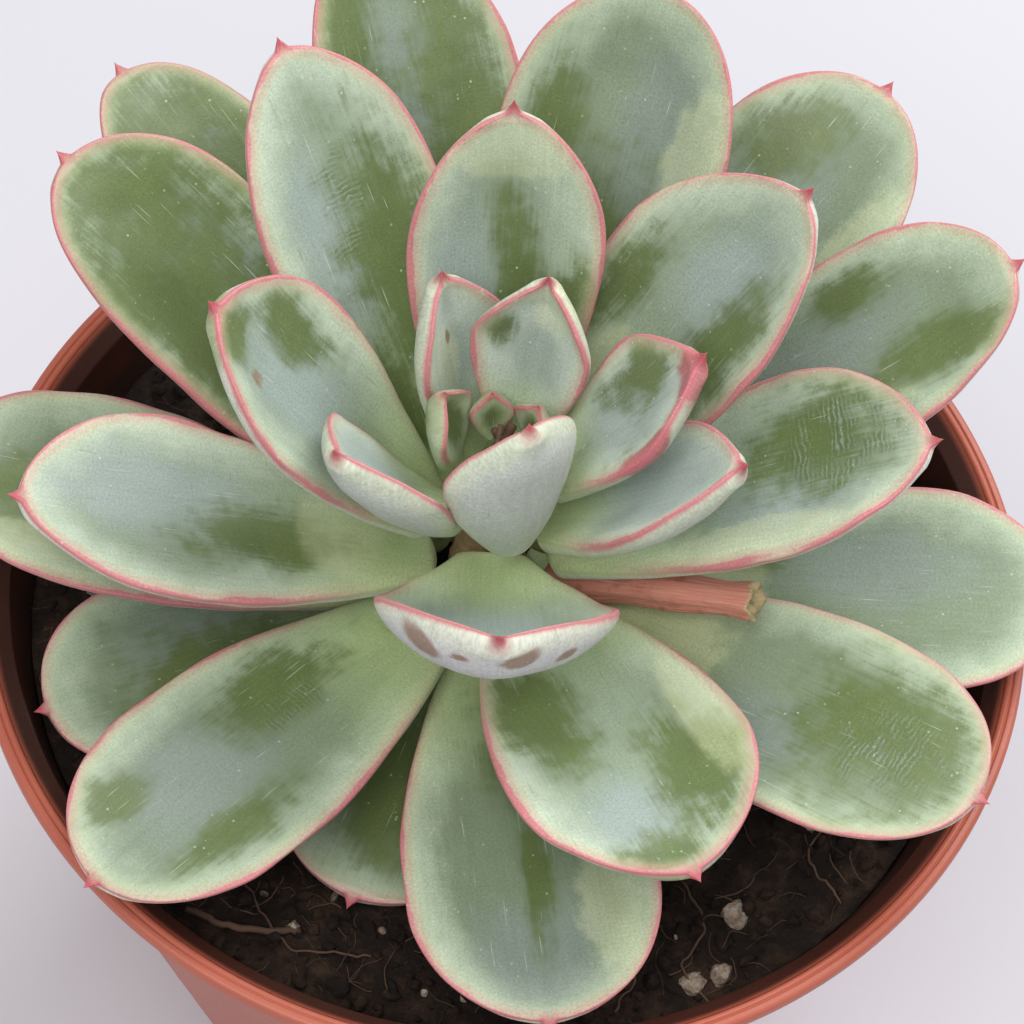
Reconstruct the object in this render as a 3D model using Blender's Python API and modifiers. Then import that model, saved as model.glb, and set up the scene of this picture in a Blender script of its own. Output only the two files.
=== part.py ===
"""A rosette succulent in a round plastic nursery pot, with its soil and the stub of a cut flower stalk.

The origin is at the middle of the pot's underside, +Z up, metres. The plant leans towards -Y, the
side it is looked at from. Run it with: blender --background --python part.py
"""

from math import atan2, cos, hypot, pi, radians, sin, sqrt, tan

import bmesh
import bpy
from mathutils import Matrix, Vector

OBJECT_NAME = "potted_succulent"
MM = 0.001

# Pot: a flat lip, a sloping shoulder under it, a tapered body and a flat base with drain holes.
POT_RIM_DIAMETER = 120 * MM
POT_BASE_DIAMETER = 72 * MM
POT_HEIGHT = 88 * MM
POT_WALL = 1.8 * MM
POT_BASE_THICKNESS = 2.2 * MM
LIP_WIDTH = 2.2 * MM
LIP_DEPTH = 2.4 * MM
LIP_ROUND = 0.6 * MM
SHOULDER_STEP = 2.2 * MM
SHOULDER_DROP = 1.6 * MM
DRAIN_HOLE_DIAMETER = 8 * MM
DRAIN_HOLE_COUNT = 8
DRAIN_HOLE_TO_EDGE = 11 * MM
POT_STEPS = 48

# Soil: its edge lies below the rim, and its surface a little lower still round the stem.
CLEARANCE = 0.3 * MM
SOIL_BELOW_RIM = 9 * MM
SOIL_DIP = 2.5 * MM
SOIL_RINGS = 5

# Stem: heights are above the soil's edge, and negative below it.
STEM_FOOT_HEIGHT = -31 * MM
STEM_TOP_HEIGHT = 38 * MM
STEM_FOOT_RADIUS = 8.5 * MM
STEM_TOP_RADIUS = 2.6 * MM
STEM_AT_SOIL = Vector((-2 * MM, 1.4 * MM, 0))
STEM_LEAN = radians(9)
STEM_SIDES = 16

# Stub of the cut flower stalk, which leaves the stem between two leaves that make room for it.
STALK_AZIMUTH = -13
STALK_BASE_HEIGHT = 12.8 * MM
STALK_PITCH = 22
STALK_LENGTH = 25 * MM
STALK_RADIUS = 2 * MM
STALK_SIDES = 12

# Leaves. A blade is widest at this share of its length, and its foot has this share of its width
# and is rounded off over the first few hundredths of the length. It thins towards its tip.
LEAF_WIDEST_AT = 0.66
LEAF_FOOT_SHARE = 0.26
LEAF_FOOT_ROUNDING = 0.03
LEAF_THINNING = 0.45
LEAF_TIP_BLUNTNESS = 12
LEAF_UPPER_SHARE = 0.35
APEX_ROUNDNESS = {"outer": 2.3, "middle": 1.9, "inner": 1.5, "bud": 1.4}
APEX_TAPER = 1.2
NO_CURL = radians(0.01)
LEAF_SECTION_POINTS = 12
LEAF_LENGTH_STEPS = 10

# Name, azimuth, base height above the soil's edge, pitch, curl, length, width, thickness, cup, roll.
# Azimuth 0 is +X and 90 is +Y. Pitch is the climb at mid length, curl the bend up from foot to tip
# and cup the turn of each edge; those and the roll are in degrees, the sizes in mm.
LEAVES = (
    ("outer_leaf_01", 109, 6.6, 43, 0, 69, 25, 5.0, 22, 6),
    ("outer_leaf_02", 137, 3.5, 29, 0, 66, 25, 5.0, 20, 12),
    ("outer_leaf_03", 153, 11, 35, 4, 60, 25, 5.0, 24, 0),
    ("outer_leaf_04", 77, 11, 51, 2, 63, 27, 5.0, 22, 0),
    ("outer_leaf_05", 52, 6, 35, 2, 66, 28, 5.0, 22, 0),
    ("outer_leaf_06", 23, 11, 38, 4, 63, 25, 5.0, 24, 0),
    ("outer_leaf_07", 1, 4, 11, -2, 59, 28, 5.0, 20, 0),
    ("outer_leaf_08", -27, 11.4 - 1.2 * STALK_RADIUS / MM, 13, -2, 57, 27, 5.0, 18, 0),
    ("outer_leaf_09", -77, 6.5, 5, 0, 51, 28, 5.0, 18, 0),
    ("outer_leaf_10", -127, 10, 7, 0, 55, 25, 5.0, 20, 0),
    ("outer_leaf_11", -153, 3, 3, 0, 46, 25, 4.5, 18, 0),
    ("outer_leaf_12", -176, 7, 16, 0, 57, 26, 5.0, 20, 0),
    ("outer_leaf_13", -104, 1, 0, 0, 35, 24, 4.5, 18, 0),
    ("outer_leaf_14", 167, 1, 3, 0, 36, 18, 4.0, 18, 0),
    ("outer_leaf_15", 97, 1.5, 8, 0, 42, 24, 4.5, 18, 0),
    ("outer_leaf_16", 37, 0.5, 4, 0, 38, 20, 4.0, 18, 0),
    ("middle_leaf_01", 132, 18, 49, 2, 55, 23, 5.0, 26, 0),
    ("middle_leaf_02", 41, 21.5, 53, 6, 48, 25, 5.0, 28, 0),
    ("middle_leaf_03", 4, 15 + STALK_RADIUS / MM, 37, 6, 48, 24, 5.0, 28, 0),
    ("middle_leaf_04", -59, 15, 14, 2, 45, 28, 5.0, 24, 0),
    ("middle_leaf_05", -164, 15.5, 25, 4, 50, 24, 5.0, 26, 0),
    ("middle_leaf_06", 97, 24, 62, 8, 43, 22, 4.8, 32, 0),
    ("middle_leaf_07", 179, 23, 53, 14, 41, 22, 4.8, 36, -8),
    ("middle_leaf_08", -85, 24, 42, 64, 32, 27, 5.0, 36, 0),
    ("inner_leaf_01", -15, 27, 50, 18, 31, 17, 4.5, 36, 0),
    ("inner_leaf_02", -148, 30.5, 54, 24, 24, 18, 4.2, 36, 16),
    ("inner_leaf_03", 13, 33, 56, 16, 26, 16, 4.2, 36, 0),
    ("inner_leaf_04", 126, 30.2, 69, 15, 24, 14, 4.0, 40, 18),
    ("inner_leaf_05", 77, 34, 73, 16, 22, 14, 4.0, 40, 0),
    ("inner_leaf_06", -70, 31.5, 85, 22, 23, 17, 4.0, 44, 18),
    ("bud_leaf_01", 166, 35, 81, 16, 12, 8, 3.0, 30, 0),
    ("bud_leaf_02", 109, 37, 84, 10, 7, 5, 2.2, 30, 0),
    ("bud_leaf_03", 42, 36, 91, 10, 9, 6, 2.6, 30, 0),
)


def clear_scene():
    for obj in list(bpy.data.objects):
        bpy.data.objects.remove(obj, do_unlink=True)


def new_collection(name):
    collection = bpy.data.collections.new(name)
    bpy.context.scene.collection.children.link(collection)
    return collection


def new_material(name, colour, roughness, metallic=0.0):
    material = bpy.data.materials.new(name)
    material.use_nodes = True
    shader = material.node_tree.nodes["Principled BSDF"]
    shader.inputs["Base Color"].default_value = (*colour, 1.0)
    shader.inputs["Roughness"].default_value = roughness
    shader.inputs["Metallic"].default_value = metallic
    material.diffuse_color = (*colour, 1.0)
    return material


def add_object(name, mesh, material, collection, location=(0, 0, 0)):
    obj = bpy.data.objects.new(name, mesh)
    obj.location = location
    collection.objects.link(obj)
    if material is not None:
        mesh.materials.append(material)
    return obj


def mesh_from(name, shape, sharp_angle=None):
    """A mesh from a finished bmesh, shaded smooth where its faces meet at less than sharp_angle."""
    bmesh.ops.recalc_face_normals(shape, faces=shape.faces)
    mesh = bpy.data.meshes.new(name)
    shape.to_mesh(mesh)
    shape.free()
    if sharp_angle is not None:
        mesh.shade_smooth()
        mesh.set_sharp_from_angle(angle=radians(sharp_angle))
    return mesh


def turned(name, profile, steps, material, collection):
    """A solid turned about Z from a closed (radius, height) profile that runs down its outer side."""
    outline = bmesh.new()
    points = [outline.verts.new((radius, 0, height)) for radius, height in profile]
    for start, end in zip(points, points[1:]):
        outline.edges.new((start, end))
    mesh = bpy.data.meshes.new(name)
    outline.to_mesh(mesh)
    outline.free()
    obj = add_object(name, mesh, material, collection)
    screw = obj.modifiers.new("turn", "SCREW")
    screw.steps = screw.render_steps = steps
    screw.use_merge_vertices = True
    screw.merge_threshold = 0.01 * MM
    screw.use_smooth_shade = True
    return obj


def cut(obj, cutter):
    boolean = obj.modifiers.new("cut", "BOOLEAN")
    boolean.operation = "DIFFERENCE"
    boolean.solver = "EXACT"
    boolean.object = cutter
    cutter.hide_render = True
    cutter.display_type = "WIRE"


def shoulder_foot_height():
    """Where the outside of the shoulder meets the body's taper."""
    return POT_HEIGHT - LIP_DEPTH - SHOULDER_DROP


def body_outer_radius(height):
    """The body's outer radius at a height, on the straight taper from the base to the shoulder."""
    top_radius = POT_RIM_DIAMETER / 2 - LIP_ROUND - SHOULDER_STEP
    share = height / shoulder_foot_height()
    return POT_BASE_DIAMETER / 2 + (top_radius - POT_BASE_DIAMETER / 2) * share


def body_inner_radius(height):
    return body_outer_radius(height) - POT_WALL


def pot_profile():
    """The pot's section: up the inside from the middle of the floor, over the lip and down the outside."""
    rim = POT_RIM_DIAMETER / 2
    lip_inner = rim - LIP_WIDTH
    lip_foot = POT_HEIGHT - LIP_DEPTH
    ledge_foot = shoulder_foot_height() + POT_WALL
    return [
        (0, POT_BASE_THICKNESS),
        (body_inner_radius(POT_BASE_THICKNESS), POT_BASE_THICKNESS),
        (body_inner_radius(ledge_foot), ledge_foot),
        (lip_inner - LIP_ROUND, ledge_foot + SHOULDER_DROP),
        (lip_inner, POT_HEIGHT - LIP_ROUND),
        (lip_inner + LIP_ROUND, POT_HEIGHT),
        (rim - LIP_ROUND, POT_HEIGHT),
        (rim, POT_HEIGHT - LIP_ROUND),
        (rim, lip_foot + LIP_ROUND),
        (rim - LIP_ROUND, lip_foot),
        (body_outer_radius(shoulder_foot_height()), shoulder_foot_height()),
        (body_outer_radius(0), 0),
        (0, 0),
    ]


def make_pot(collection, cutters):
    plastic = new_material("terracotta_plastic", (0.40, 0.105, 0.065), 0.55)
    pot = turned("pot", pot_profile(), POT_STEPS, plastic, collection)
    holes = bmesh.new()
    ring_radius = POT_BASE_DIAMETER / 2 - DRAIN_HOLE_TO_EDGE
    for index in range(DRAIN_HOLE_COUNT):
        angle = 2 * pi * index / DRAIN_HOLE_COUNT
        place = Matrix.Translation((ring_radius * cos(angle), ring_radius * sin(angle), 0))
        bmesh.ops.create_cone(
            holes,
            cap_ends=True,
            segments=12,
            radius1=DRAIN_HOLE_DIAMETER / 2,
            radius2=DRAIN_HOLE_DIAMETER / 2,
            depth=4 * POT_BASE_THICKNESS,
            matrix=place,
        )
    cut(pot, add_object("drain_hole_cutter", mesh_from("drain_holes", holes), None, cutters))
    return pot


def stem_point(height):
    """The middle of the leaning stem at a height above the soil's edge."""
    lean = Vector((0, -height * tan(STEM_LEAN), height))
    return STEM_AT_SOIL + lean + Vector((0, 0, POT_HEIGHT - SOIL_BELOW_RIM))


def stem_radius(height):
    share = (height - STEM_FOOT_HEIGHT) / (STEM_TOP_HEIGHT - STEM_FOOT_HEIGHT)
    return STEM_FOOT_RADIUS + (STEM_TOP_RADIUS - STEM_FOOT_RADIUS) * share


def make_stem_shape(grow):
    """The stem as a leaning cone, grown by a distance on every side."""
    foot = stem_point(STEM_FOOT_HEIGHT)
    top = stem_point(STEM_TOP_HEIGHT)
    axis = top - foot
    turn = axis.to_track_quat("Z", "Y").to_matrix().to_4x4()
    shape = bmesh.new()
    bmesh.ops.create_cone(
        shape,
        cap_ends=True,
        segments=STEM_SIDES,
        radius1=STEM_FOOT_RADIUS + grow,
        radius2=STEM_TOP_RADIUS + grow,
        depth=axis.length + 2 * grow,
        matrix=Matrix.Translation((foot + top) / 2) @ turn,
    )
    return shape


def make_stem(collection):
    bark = new_material("stem_skin", (0.25, 0.17, 0.09), 0.8)
    return add_object("stem", mesh_from("stem", make_stem_shape(0), 40), bark, collection)


def soil_height(radius):
    """Height of the soil surface at a distance from the pot's axis."""
    edge = POT_HEIGHT - SOIL_BELOW_RIM
    share = radius / body_inner_radius(edge)
    return edge - SOIL_DIP * (1 - share * share)


def make_soil(collection, cutters):
    mix = new_material("potting_mix", (0.020, 0.012, 0.008), 0.95)
    floor = POT_BASE_THICKNESS + CLEARANCE
    edge = POT_HEIGHT - SOIL_BELOW_RIM
    top_radius = body_inner_radius(edge) - CLEARANCE
    radii = [top_radius * step / SOIL_RINGS for step in range(SOIL_RINGS)]
    profile = [(radius, soil_height(radius)) for radius in radii]
    profile += [(top_radius, edge), (body_inner_radius(floor) - CLEARANCE, floor), (0, floor)]
    soil = turned("soil", profile, POT_STEPS, mix, collection)
    socket = mesh_from("stem_socket", make_stem_shape(CLEARANCE))
    cut(soil, add_object("stem_socket_cutter", socket, None, cutters))
    return soil


def outline_share(along, roundness):
    """Half width of a blade at a share of its length, as a share of the widest half width."""
    if along < LEAF_WIDEST_AT:
        grown = along / LEAF_WIDEST_AT
        rise = 1.5 * grown - 0.5 * grown**3
        return foot_share(along) * (LEAF_FOOT_SHARE + (1 - LEAF_FOOT_SHARE) * rise)
    past = (along - LEAF_WIDEST_AT) / (1 - LEAF_WIDEST_AT)
    return max(0.0, 1 - past**roundness) ** (APEX_TAPER / roundness)


def foot_share(along):
    """The rounding of a blade's foot, from 0 at its end to 1 where the rounding stops."""
    return sqrt(min(1.0, along / LEAF_FOOT_ROUNDING))


def thickness_share(along):
    """Thickness of a blade at a share of its length, as a share of its thickness near the foot."""
    blunt_tip = sqrt(max(0.0, 1 - along**LEAF_TIP_BLUNTNESS))
    return (1 - LEAF_THINNING * along * along) * blunt_tip * foot_share(along)


def leaf_start(leaf):
    """How far from the middle of the stem a leaf's foot is."""
    pitch, curl, thickness = leaf[3], leaf[4], leaf[7]
    slope = abs(sin(radians(pitch - curl / 2)))
    return stem_radius(leaf[2] * MM) + 2 * CLEARANCE + thickness / 2 * MM * slope


def leaf_growth(leaf):
    """1, or the share to which a leaf is held back where it lies too low to pass over the pot's wall."""
    name, azimuth, base, pitch, curl, length, width, thickness, cup, roll = leaf
    foot = stem_point(base * MM)
    outward = Vector((cos(radians(azimuth)), sin(radians(azimuth)), 0))
    reach = length * MM * cos(radians(pitch))
    underside = foot.z + reach * tan(radians(pitch)) - thickness * MM * (1 - LEAF_UPPER_SHARE)
    if underside > POT_HEIGHT + CLEARANCE:
        return 1.0
    wall = body_inner_radius(underside) - CLEARANCE
    sideways = foot.cross(outward).z
    room = sqrt(wall * wall - sideways * sideways) - foot.dot(outward) - leaf_start(leaf)
    return min(1.0, room / reach)


def leaf_point(leaf, along, around):
    """A point of a leaf's skin: along runs 0 to 1 from foot to tip, and around is an angle in its section."""
    name, azimuth, base, pitch, curl, length, width, thickness, cup, roll = leaf
    curl = radians(curl) or NO_CURL
    first = radians(pitch) - curl / 2
    here = first + curl * along
    grown = leaf_growth(leaf) * MM
    forward = length * grown / curl * (sin(here) - sin(first))
    climb = length * grown / curl * (cos(first) - cos(here))
    roundness = APEX_ROUNDNESS[name.split("_")[0]]
    half_width = width * grown / 2 * outline_share(along, roundness)
    turn = radians(cup) * cos(around)
    side = half_width * sin(turn) / radians(cup)
    lift = half_width * (1 - cos(turn)) / radians(cup)
    share = LEAF_UPPER_SHARE if sin(around) > 0 else 1 - LEAF_UPPER_SHARE
    skin = thickness * MM * thickness_share(along) * share * sin(around)
    side -= skin * sin(turn)
    lift += skin * cos(turn)
    rolled = radians(roll)
    side, lift = side * cos(rolled) - lift * sin(rolled), side * sin(rolled) + lift * cos(rolled)
    point = Vector((forward - lift * sin(here), side, climb + lift * cos(here)))
    outward = Matrix.Rotation(radians(azimuth), 3, "Z")
    return stem_point(base * MM) + outward @ (point + Vector((leaf_start(leaf), 0, 0)))


def make_leaf(leaf, material, collection):
    shape = bmesh.new()
    bmesh.ops.create_uvsphere(
        shape, u_segments=LEAF_SECTION_POINTS, v_segments=LEAF_LENGTH_STEPS, radius=1.0
    )
    for vertex in shape.verts:
        around = atan2(vertex.co.y, vertex.co.x) if hypot(vertex.co.x, vertex.co.y) > 1e-6 else 0.0
        vertex.co = leaf_point(leaf, (1 - vertex.co.z) / 2, around)
    return add_object(leaf[0], mesh_from(leaf[0], shape, 60), material, collection)


def make_leaves(collection):
    blades = {
        "outer": new_material("outer_leaf_skin", (0.30, 0.42, 0.33), 0.5),
        "middle": new_material("middle_leaf_skin", (0.36, 0.47, 0.38), 0.5),
        "inner": new_material("inner_leaf_skin", (0.42, 0.52, 0.44), 0.5),
        "bud": new_material("bud_leaf_skin", (0.40, 0.48, 0.38), 0.5),
    }
    return [make_leaf(leaf, blades[leaf[0].split("_")[0]], collection) for leaf in LEAVES]


def make_flower_stalk(collection):
    skin = new_material("flower_stalk_skin", (0.36, 0.11, 0.08), 0.6)
    turn = Matrix.Rotation(radians(STALK_AZIMUTH), 4, "Z") @ Matrix.Rotation(
        radians(90 - STALK_PITCH), 4, "Y"
    )
    clear_of_stem = stem_radius(STALK_BASE_HEIGHT) + STALK_RADIUS + CLEARANCE
    outward = Vector((cos(radians(STALK_AZIMUTH)), sin(radians(STALK_AZIMUTH)), 0))
    start = stem_point(STALK_BASE_HEIGHT) + outward * clear_of_stem
    shape = bmesh.new()
    bmesh.ops.create_cone(
        shape,
        cap_ends=True,
        segments=STALK_SIDES,
        radius1=STALK_RADIUS,
        radius2=STALK_RADIUS,
        depth=STALK_LENGTH,
        matrix=Matrix.Translation(start) @ turn @ Matrix.Translation((0, 0, STALK_LENGTH / 2)),
    )
    return add_object("flower_stalk", mesh_from("flower_stalk", shape, 40), skin, collection)


def main():
    clear_scene()
    parts = new_collection(OBJECT_NAME)
    cutters = new_collection("cutters")
    make_pot(parts, cutters)
    make_soil(parts, cutters)
    make_stem(parts)
    make_leaves(parts)
    make_flower_stalk(parts)


main()
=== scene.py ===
"""Looks of a rosette succulent in a plastic nursery pot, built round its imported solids.

Metres, +Z up. The origin is the middle of the pot's underside, and the rosette leans towards -Y,
the side it is looked at from. Every leaf, the stem, the flower stalk, the pot and the soil stand
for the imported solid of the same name. Fields hold millimetres and degrees unless they say otherwise.
"""

import logging
from collections.abc import Sequence
from dataclasses import dataclass, field
from enum import Enum
from math import cos, pi, radians, sin, tan

import bpy
import numpy as np
from mathutils import Matrix, Vector


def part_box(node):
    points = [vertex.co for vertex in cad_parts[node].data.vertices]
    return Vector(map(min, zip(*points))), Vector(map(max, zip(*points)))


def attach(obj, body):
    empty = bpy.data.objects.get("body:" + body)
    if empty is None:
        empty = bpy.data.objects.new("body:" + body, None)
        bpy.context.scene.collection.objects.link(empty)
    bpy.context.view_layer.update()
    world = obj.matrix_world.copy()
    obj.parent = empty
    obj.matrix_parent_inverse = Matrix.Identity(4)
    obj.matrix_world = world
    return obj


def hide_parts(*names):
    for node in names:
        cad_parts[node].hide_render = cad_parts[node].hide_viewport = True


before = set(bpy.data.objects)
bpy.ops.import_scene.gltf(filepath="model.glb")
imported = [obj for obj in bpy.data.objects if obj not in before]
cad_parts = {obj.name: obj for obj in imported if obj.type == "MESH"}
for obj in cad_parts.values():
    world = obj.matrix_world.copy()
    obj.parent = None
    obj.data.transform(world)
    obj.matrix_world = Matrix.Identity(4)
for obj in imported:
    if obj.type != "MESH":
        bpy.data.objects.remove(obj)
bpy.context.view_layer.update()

MM = 0.001
LOG = logging.getLogger("potted_succulent")


# ---------------------------------------------------------------- colours and nodes


def linear(colour: str) -> tuple[float, float, float, float]:
    """Turns an sRGB hex colour such as "#9DB5A5" into linear RGBA.

    Args:
        colour: The colour as a hash sign and six hex digits.

    Returns:
        Red, green, blue and alpha, each from 0 to 1.
    """
    parts = [int(colour[i : i + 2], 16) / 255 for i in (1, 3, 5)]
    return (*(p / 12.92 if p <= 0.04045 else ((p + 0.055) / 1.055) ** 2.4 for p in parts), 1.0)


class Graph:
    """A node tree whose nodes are added under a name, so that later ones can link to them.

    An input given as "@name" or "@name.Output" is a link, and one given as "#RRGGBB" is a colour.
    """

    KIND_STARTS = ("ShaderNode", "GeometryNode", "FunctionNode", "Node")

    def __init__(self, tree: bpy.types.NodeTree) -> None:
        """Starts on a tree, which is emptied.

        Args:
            tree: The shader or geometry tree to fill.
        """
        self.tree = tree
        self.named: dict[str, bpy.types.Node] = {}
        tree.nodes.clear()

    def add(self, name: str, kind: str, inputs: dict | None = None, **settings: object) -> str:
        """Adds one node with its settings and links.

        Args:
            name: What later nodes call this one.
            kind: Blender's type name of the node, without what it starts with.
            inputs: Socket names or indices and their values or links.
            settings: Attributes of the node.

        Returns:
            The link to the node's first output, "@name".
        """
        full = next(start + kind for start in self.KIND_STARTS if hasattr(bpy.types, start + kind))
        node = self.named[name] = self.tree.nodes.new(full)
        for key, value in settings.items():
            setattr(node, key, value)
        for key, value in (inputs or {}).items():
            target = self.socket(node.inputs, key)
            if isinstance(value, str) and value.startswith("@"):
                source, _, output = value[1:].partition(".")
                self.tree.links.new(self.socket(self.named[source].outputs, output or 0), target)
            else:
                target.default_value = linear(value) if str(value).startswith("#") else value
        return "@" + name

    def add_rows(
        self, kind: str, sockets: Sequence[str | int], rows: Sequence[tuple], **settings: object
    ) -> None:
        """Adds a node for each row of a table.

        Args:
            kind: The nodes' type, as for add.
            sockets: The inputs that the columns after the first give.
            rows: Each node's name and then its inputs, from the first one on.
            settings: Attributes of every node.
        """
        for name, *values in rows:
            self.add(name, kind, dict(zip(sockets, values)), **settings)

    @staticmethod
    def socket(sockets: bpy.types.bpy_prop_collection, key: str | int) -> bpy.types.NodeSocket:
        """Finds a socket in use by its name, or by its place among those in use.

        Args:
            sockets: A node's inputs or outputs.
            key: The socket's name, or its index among the enabled sockets.

        Returns:
            The socket.
        """
        used = [s for s in sockets if s.enabled]
        return used[key] if isinstance(key, int) else next(s for s in used if s.name == key)

    def coats(self, ground: str, layers: Sequence[tuple[str, str, str]]) -> str:
        """Lays coats of colour over a ground, the first one lowest.

        Args:
            ground: A colour or a link to one.
            layers: Each coat's name, the link to its mask and its colour or link.

        Returns:
            The link to the finished colour.
        """
        for name, mask, colour in layers:
            ground = self.add(name, "Mix", {"Factor": mask, "A": ground, "B": colour}, data_type="RGBA")
        return ground


SPAN = ("Value", "From Min", "From Max", "To Max")
NOISE = ("Vector", "Scale", "Detail", "Roughness")
TIMES_PLUS = {"operation": "MULTIPLY_ADD"}
SOFT_STEP = {"interpolation_type": "SMOOTHSTEP"}


def shader_graph(name: str) -> tuple[bpy.types.Material, Graph]:
    """Makes an empty node material.

    Args:
        name: The material's name.

    Returns:
        The material and the graph of its tree.
    """
    material = bpy.data.materials.new(name)
    material.use_nodes = True
    return material, Graph(material.node_tree)


def finish_surface(graph: Graph, shader: dict, bump: str, depth: float) -> None:
    """Adds the bump, the principled shader and the output.

    Args:
        graph: The material's graph.
        shader: The principled shader's inputs.
        bump: The link to the height.
        depth: How high the bump is where the height is 1, in millimetres.
    """
    graph.add("relief", "Bump", {"Strength": 1.0, "Distance": depth * MM, "Height": bump})
    graph.add("surface", "BsdfPrincipled", {**shader, "Normal": "@relief"})
    graph.add("output", "OutputMaterial", {"Surface": "@surface"})


# ---------------------------------------------------------------- meshes


def ripple(seed: int, x: np.ndarray, y: np.ndarray, wavelength: float) -> np.ndarray:
    """Smooth seeded waves over a plane, from about -1 to 1.

    Args:
        seed: Chooses the waves.
        x: First coordinate.
        y: Second coordinate, in the same unit.
        wavelength: The longest wave, in the coordinates' unit.

    Returns:
        The sum of the waves at each point.
    """
    rng = np.random.default_rng(seed)
    total = np.zeros(np.broadcast(x, y).shape)
    for octave in (1.0, 1.7, 2.9):
        for _ in range(3):
            turn, phase = rng.uniform(0, 2 * pi, 2)
            reach = 2 * pi * octave / wavelength
            total += np.sin(reach * (x * cos(turn) + y * sin(turn)) + phase) / (2.2 * octave)
    return total / 1.6


def ring_mesh(
    name: str, rings: np.ndarray, attributes: dict[str, np.ndarray] | None = None
) -> bpy.types.Mesh:
    """A closed smooth mesh through rings of points; the first and last ring shrink to one point each.

    Args:
        name: The mesh's name.
        rings: Points as an array of rings, points in a ring and coordinates, in metres. They run
            anticlockwise seen from the last ring's end.
        attributes: Point attributes by name, as arrays of rings and points, and of 3 for a vector.

    Returns:
        The mesh.
    """
    count, around = rings.shape[:2]
    inner = rings[1:-1].reshape(-1, 3)
    points = np.vstack([rings[0].mean(0), inner, rings[-1].mean(0)])
    last = len(points) - 1
    steps = np.arange(around)
    after = (steps + 1) % around
    faces: list[tuple[int, ...]] = [(0, int(1 + b), int(1 + a)) for a, b in zip(steps, after)]
    for ring in range(count - 3):
        low, high = 1 + ring * around, 1 + (ring + 1) * around
        faces += [(int(low + a), int(low + b), int(high + b), int(high + a)) for a, b in zip(steps, after)]
    top = 1 + (count - 3) * around
    faces += [(int(top + a), int(top + b), last) for a, b in zip(steps, after)]
    mesh = bpy.data.meshes.new(name)
    mesh.from_pydata(points.tolist(), [], faces)
    for label, values in (attributes or {}).items():
        wide = values.ndim == 3
        kept = values[1:-1].reshape(-1, 3) if wide else values[1:-1].reshape(-1)
        flat = np.concatenate([values[:1, 0], kept, values[-1:, 0]]).astype(np.float32)
        layer = mesh.attributes.new(label, "FLOAT_VECTOR" if wide else "FLOAT", "POINT")
        layer.data.foreach_set("vector" if wide else "value", flat.ravel())
    mesh.shade_smooth()
    mesh.update()
    return mesh


def put(
    name: str, mesh: bpy.types.Mesh, material: bpy.types.Material | None
) -> bpy.types.Object:
    """Links a mesh to the scene as an object at the origin.

    Args:
        name: The object's name.
        mesh: Its mesh, in place.
        material: Its only material, or None if the mesh has its own.

    Returns:
        The object.
    """
    piece = bpy.data.objects.new(name, mesh)
    bpy.context.scene.collection.objects.link(piece)
    if material is not None:
        mesh.materials.clear()
        mesh.materials.append(material)
    return piece


def settle(piece: bpy.types.Object, *nodes: str) -> bpy.types.Object:
    """Gives a piece to the one body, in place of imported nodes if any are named.

    Args:
        piece: The finished object.
        nodes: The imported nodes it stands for.

    Returns:
        The same object.
    """
    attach(piece, "root")
    if nodes:
        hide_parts(*nodes)
    LOG.info("%s: %d faces, stands for %s", piece.name, len(piece.data.polygons), nodes or "nothing")
    return piece


def turned_rings(profile: Sequence[tuple[float, float]], steps: int) -> np.ndarray:
    """Rings of a solid turned about Z.

    Args:
        profile: Radius and height in metres, from the axis under or inside to the axis again.
        steps: How many points a ring has.

    Returns:
        An array of rings, points and coordinates.
    """
    radius, height = np.array(profile, float).T
    angle = np.arange(steps) * 2 * pi / steps
    x = radius[:, None] * np.cos(angle)
    y = radius[:, None] * np.sin(angle)
    return np.stack([x, y, np.broadcast_to(height[:, None], x.shape)], axis=2)


def rounded(corners: Sequence[tuple[float, float, float]], steps: int = 6) -> list[tuple[float, float]]:
    """Rounds the corners of an open outline.

    Args:
        corners: Two coordinates and a corner radius each; the ends are kept as they are.
        steps: How many stretches an arc has.

    Returns:
        The outline's points.
    """
    points = [corners[0][:2]]
    for before, (x, y, radius), after in zip(corners, corners[1:], corners[2:]):
        corner = Vector((x, y))
        towards = [(Vector(p[:2]) - corner).normalized() for p in (before, after)]
        if radius <= 0:
            points.append((x, y))
            continue
        half = towards[0].angle(towards[1]) / 2
        reach = radius / tan(half)
        middle = corner + (towards[0] + towards[1]).normalized() * radius / sin(half)
        start = corner + towards[0] * reach - middle
        sweep = start.angle_signed(corner + towards[1] * reach - middle)
        for step in range(steps + 1):
            turn = -sweep * step / steps
            points.append(
                (
                    middle.x + start.x * cos(turn) - start.y * sin(turn),
                    middle.y + start.x * sin(turn) + start.y * cos(turn),
                )
            )
    points.append(corners[-1][:2])
    return points


def grow(
    base: bpy.types.Object, tree: bpy.types.NodeTree, sizes: dict[str, object], name: str
) -> bpy.types.Mesh:
    """Runs a geometry tree on an object and keeps the result as a plain mesh.

    Args:
        base: The object the tree starts from.
        tree: The geometry tree.
        sizes: The tree's inputs by name.
        name: The new mesh's name.

    Returns:
        The mesh that the tree gives.
    """
    modifier = base.modifiers.new(tree.name, "NODES")
    modifier.node_group = tree
    for item in tree.interface.items_tree:
        if item.item_type == "SOCKET" and item.in_out == "INPUT" and item.name in sizes:
            modifier[item.identifier] = sizes[item.name]
    graph = bpy.context.evaluated_depsgraph_get()
    mesh = bpy.data.meshes.new_from_object(base.evaluated_get(graph))
    mesh.name = name
    base.modifiers.remove(modifier)
    return mesh


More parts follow.
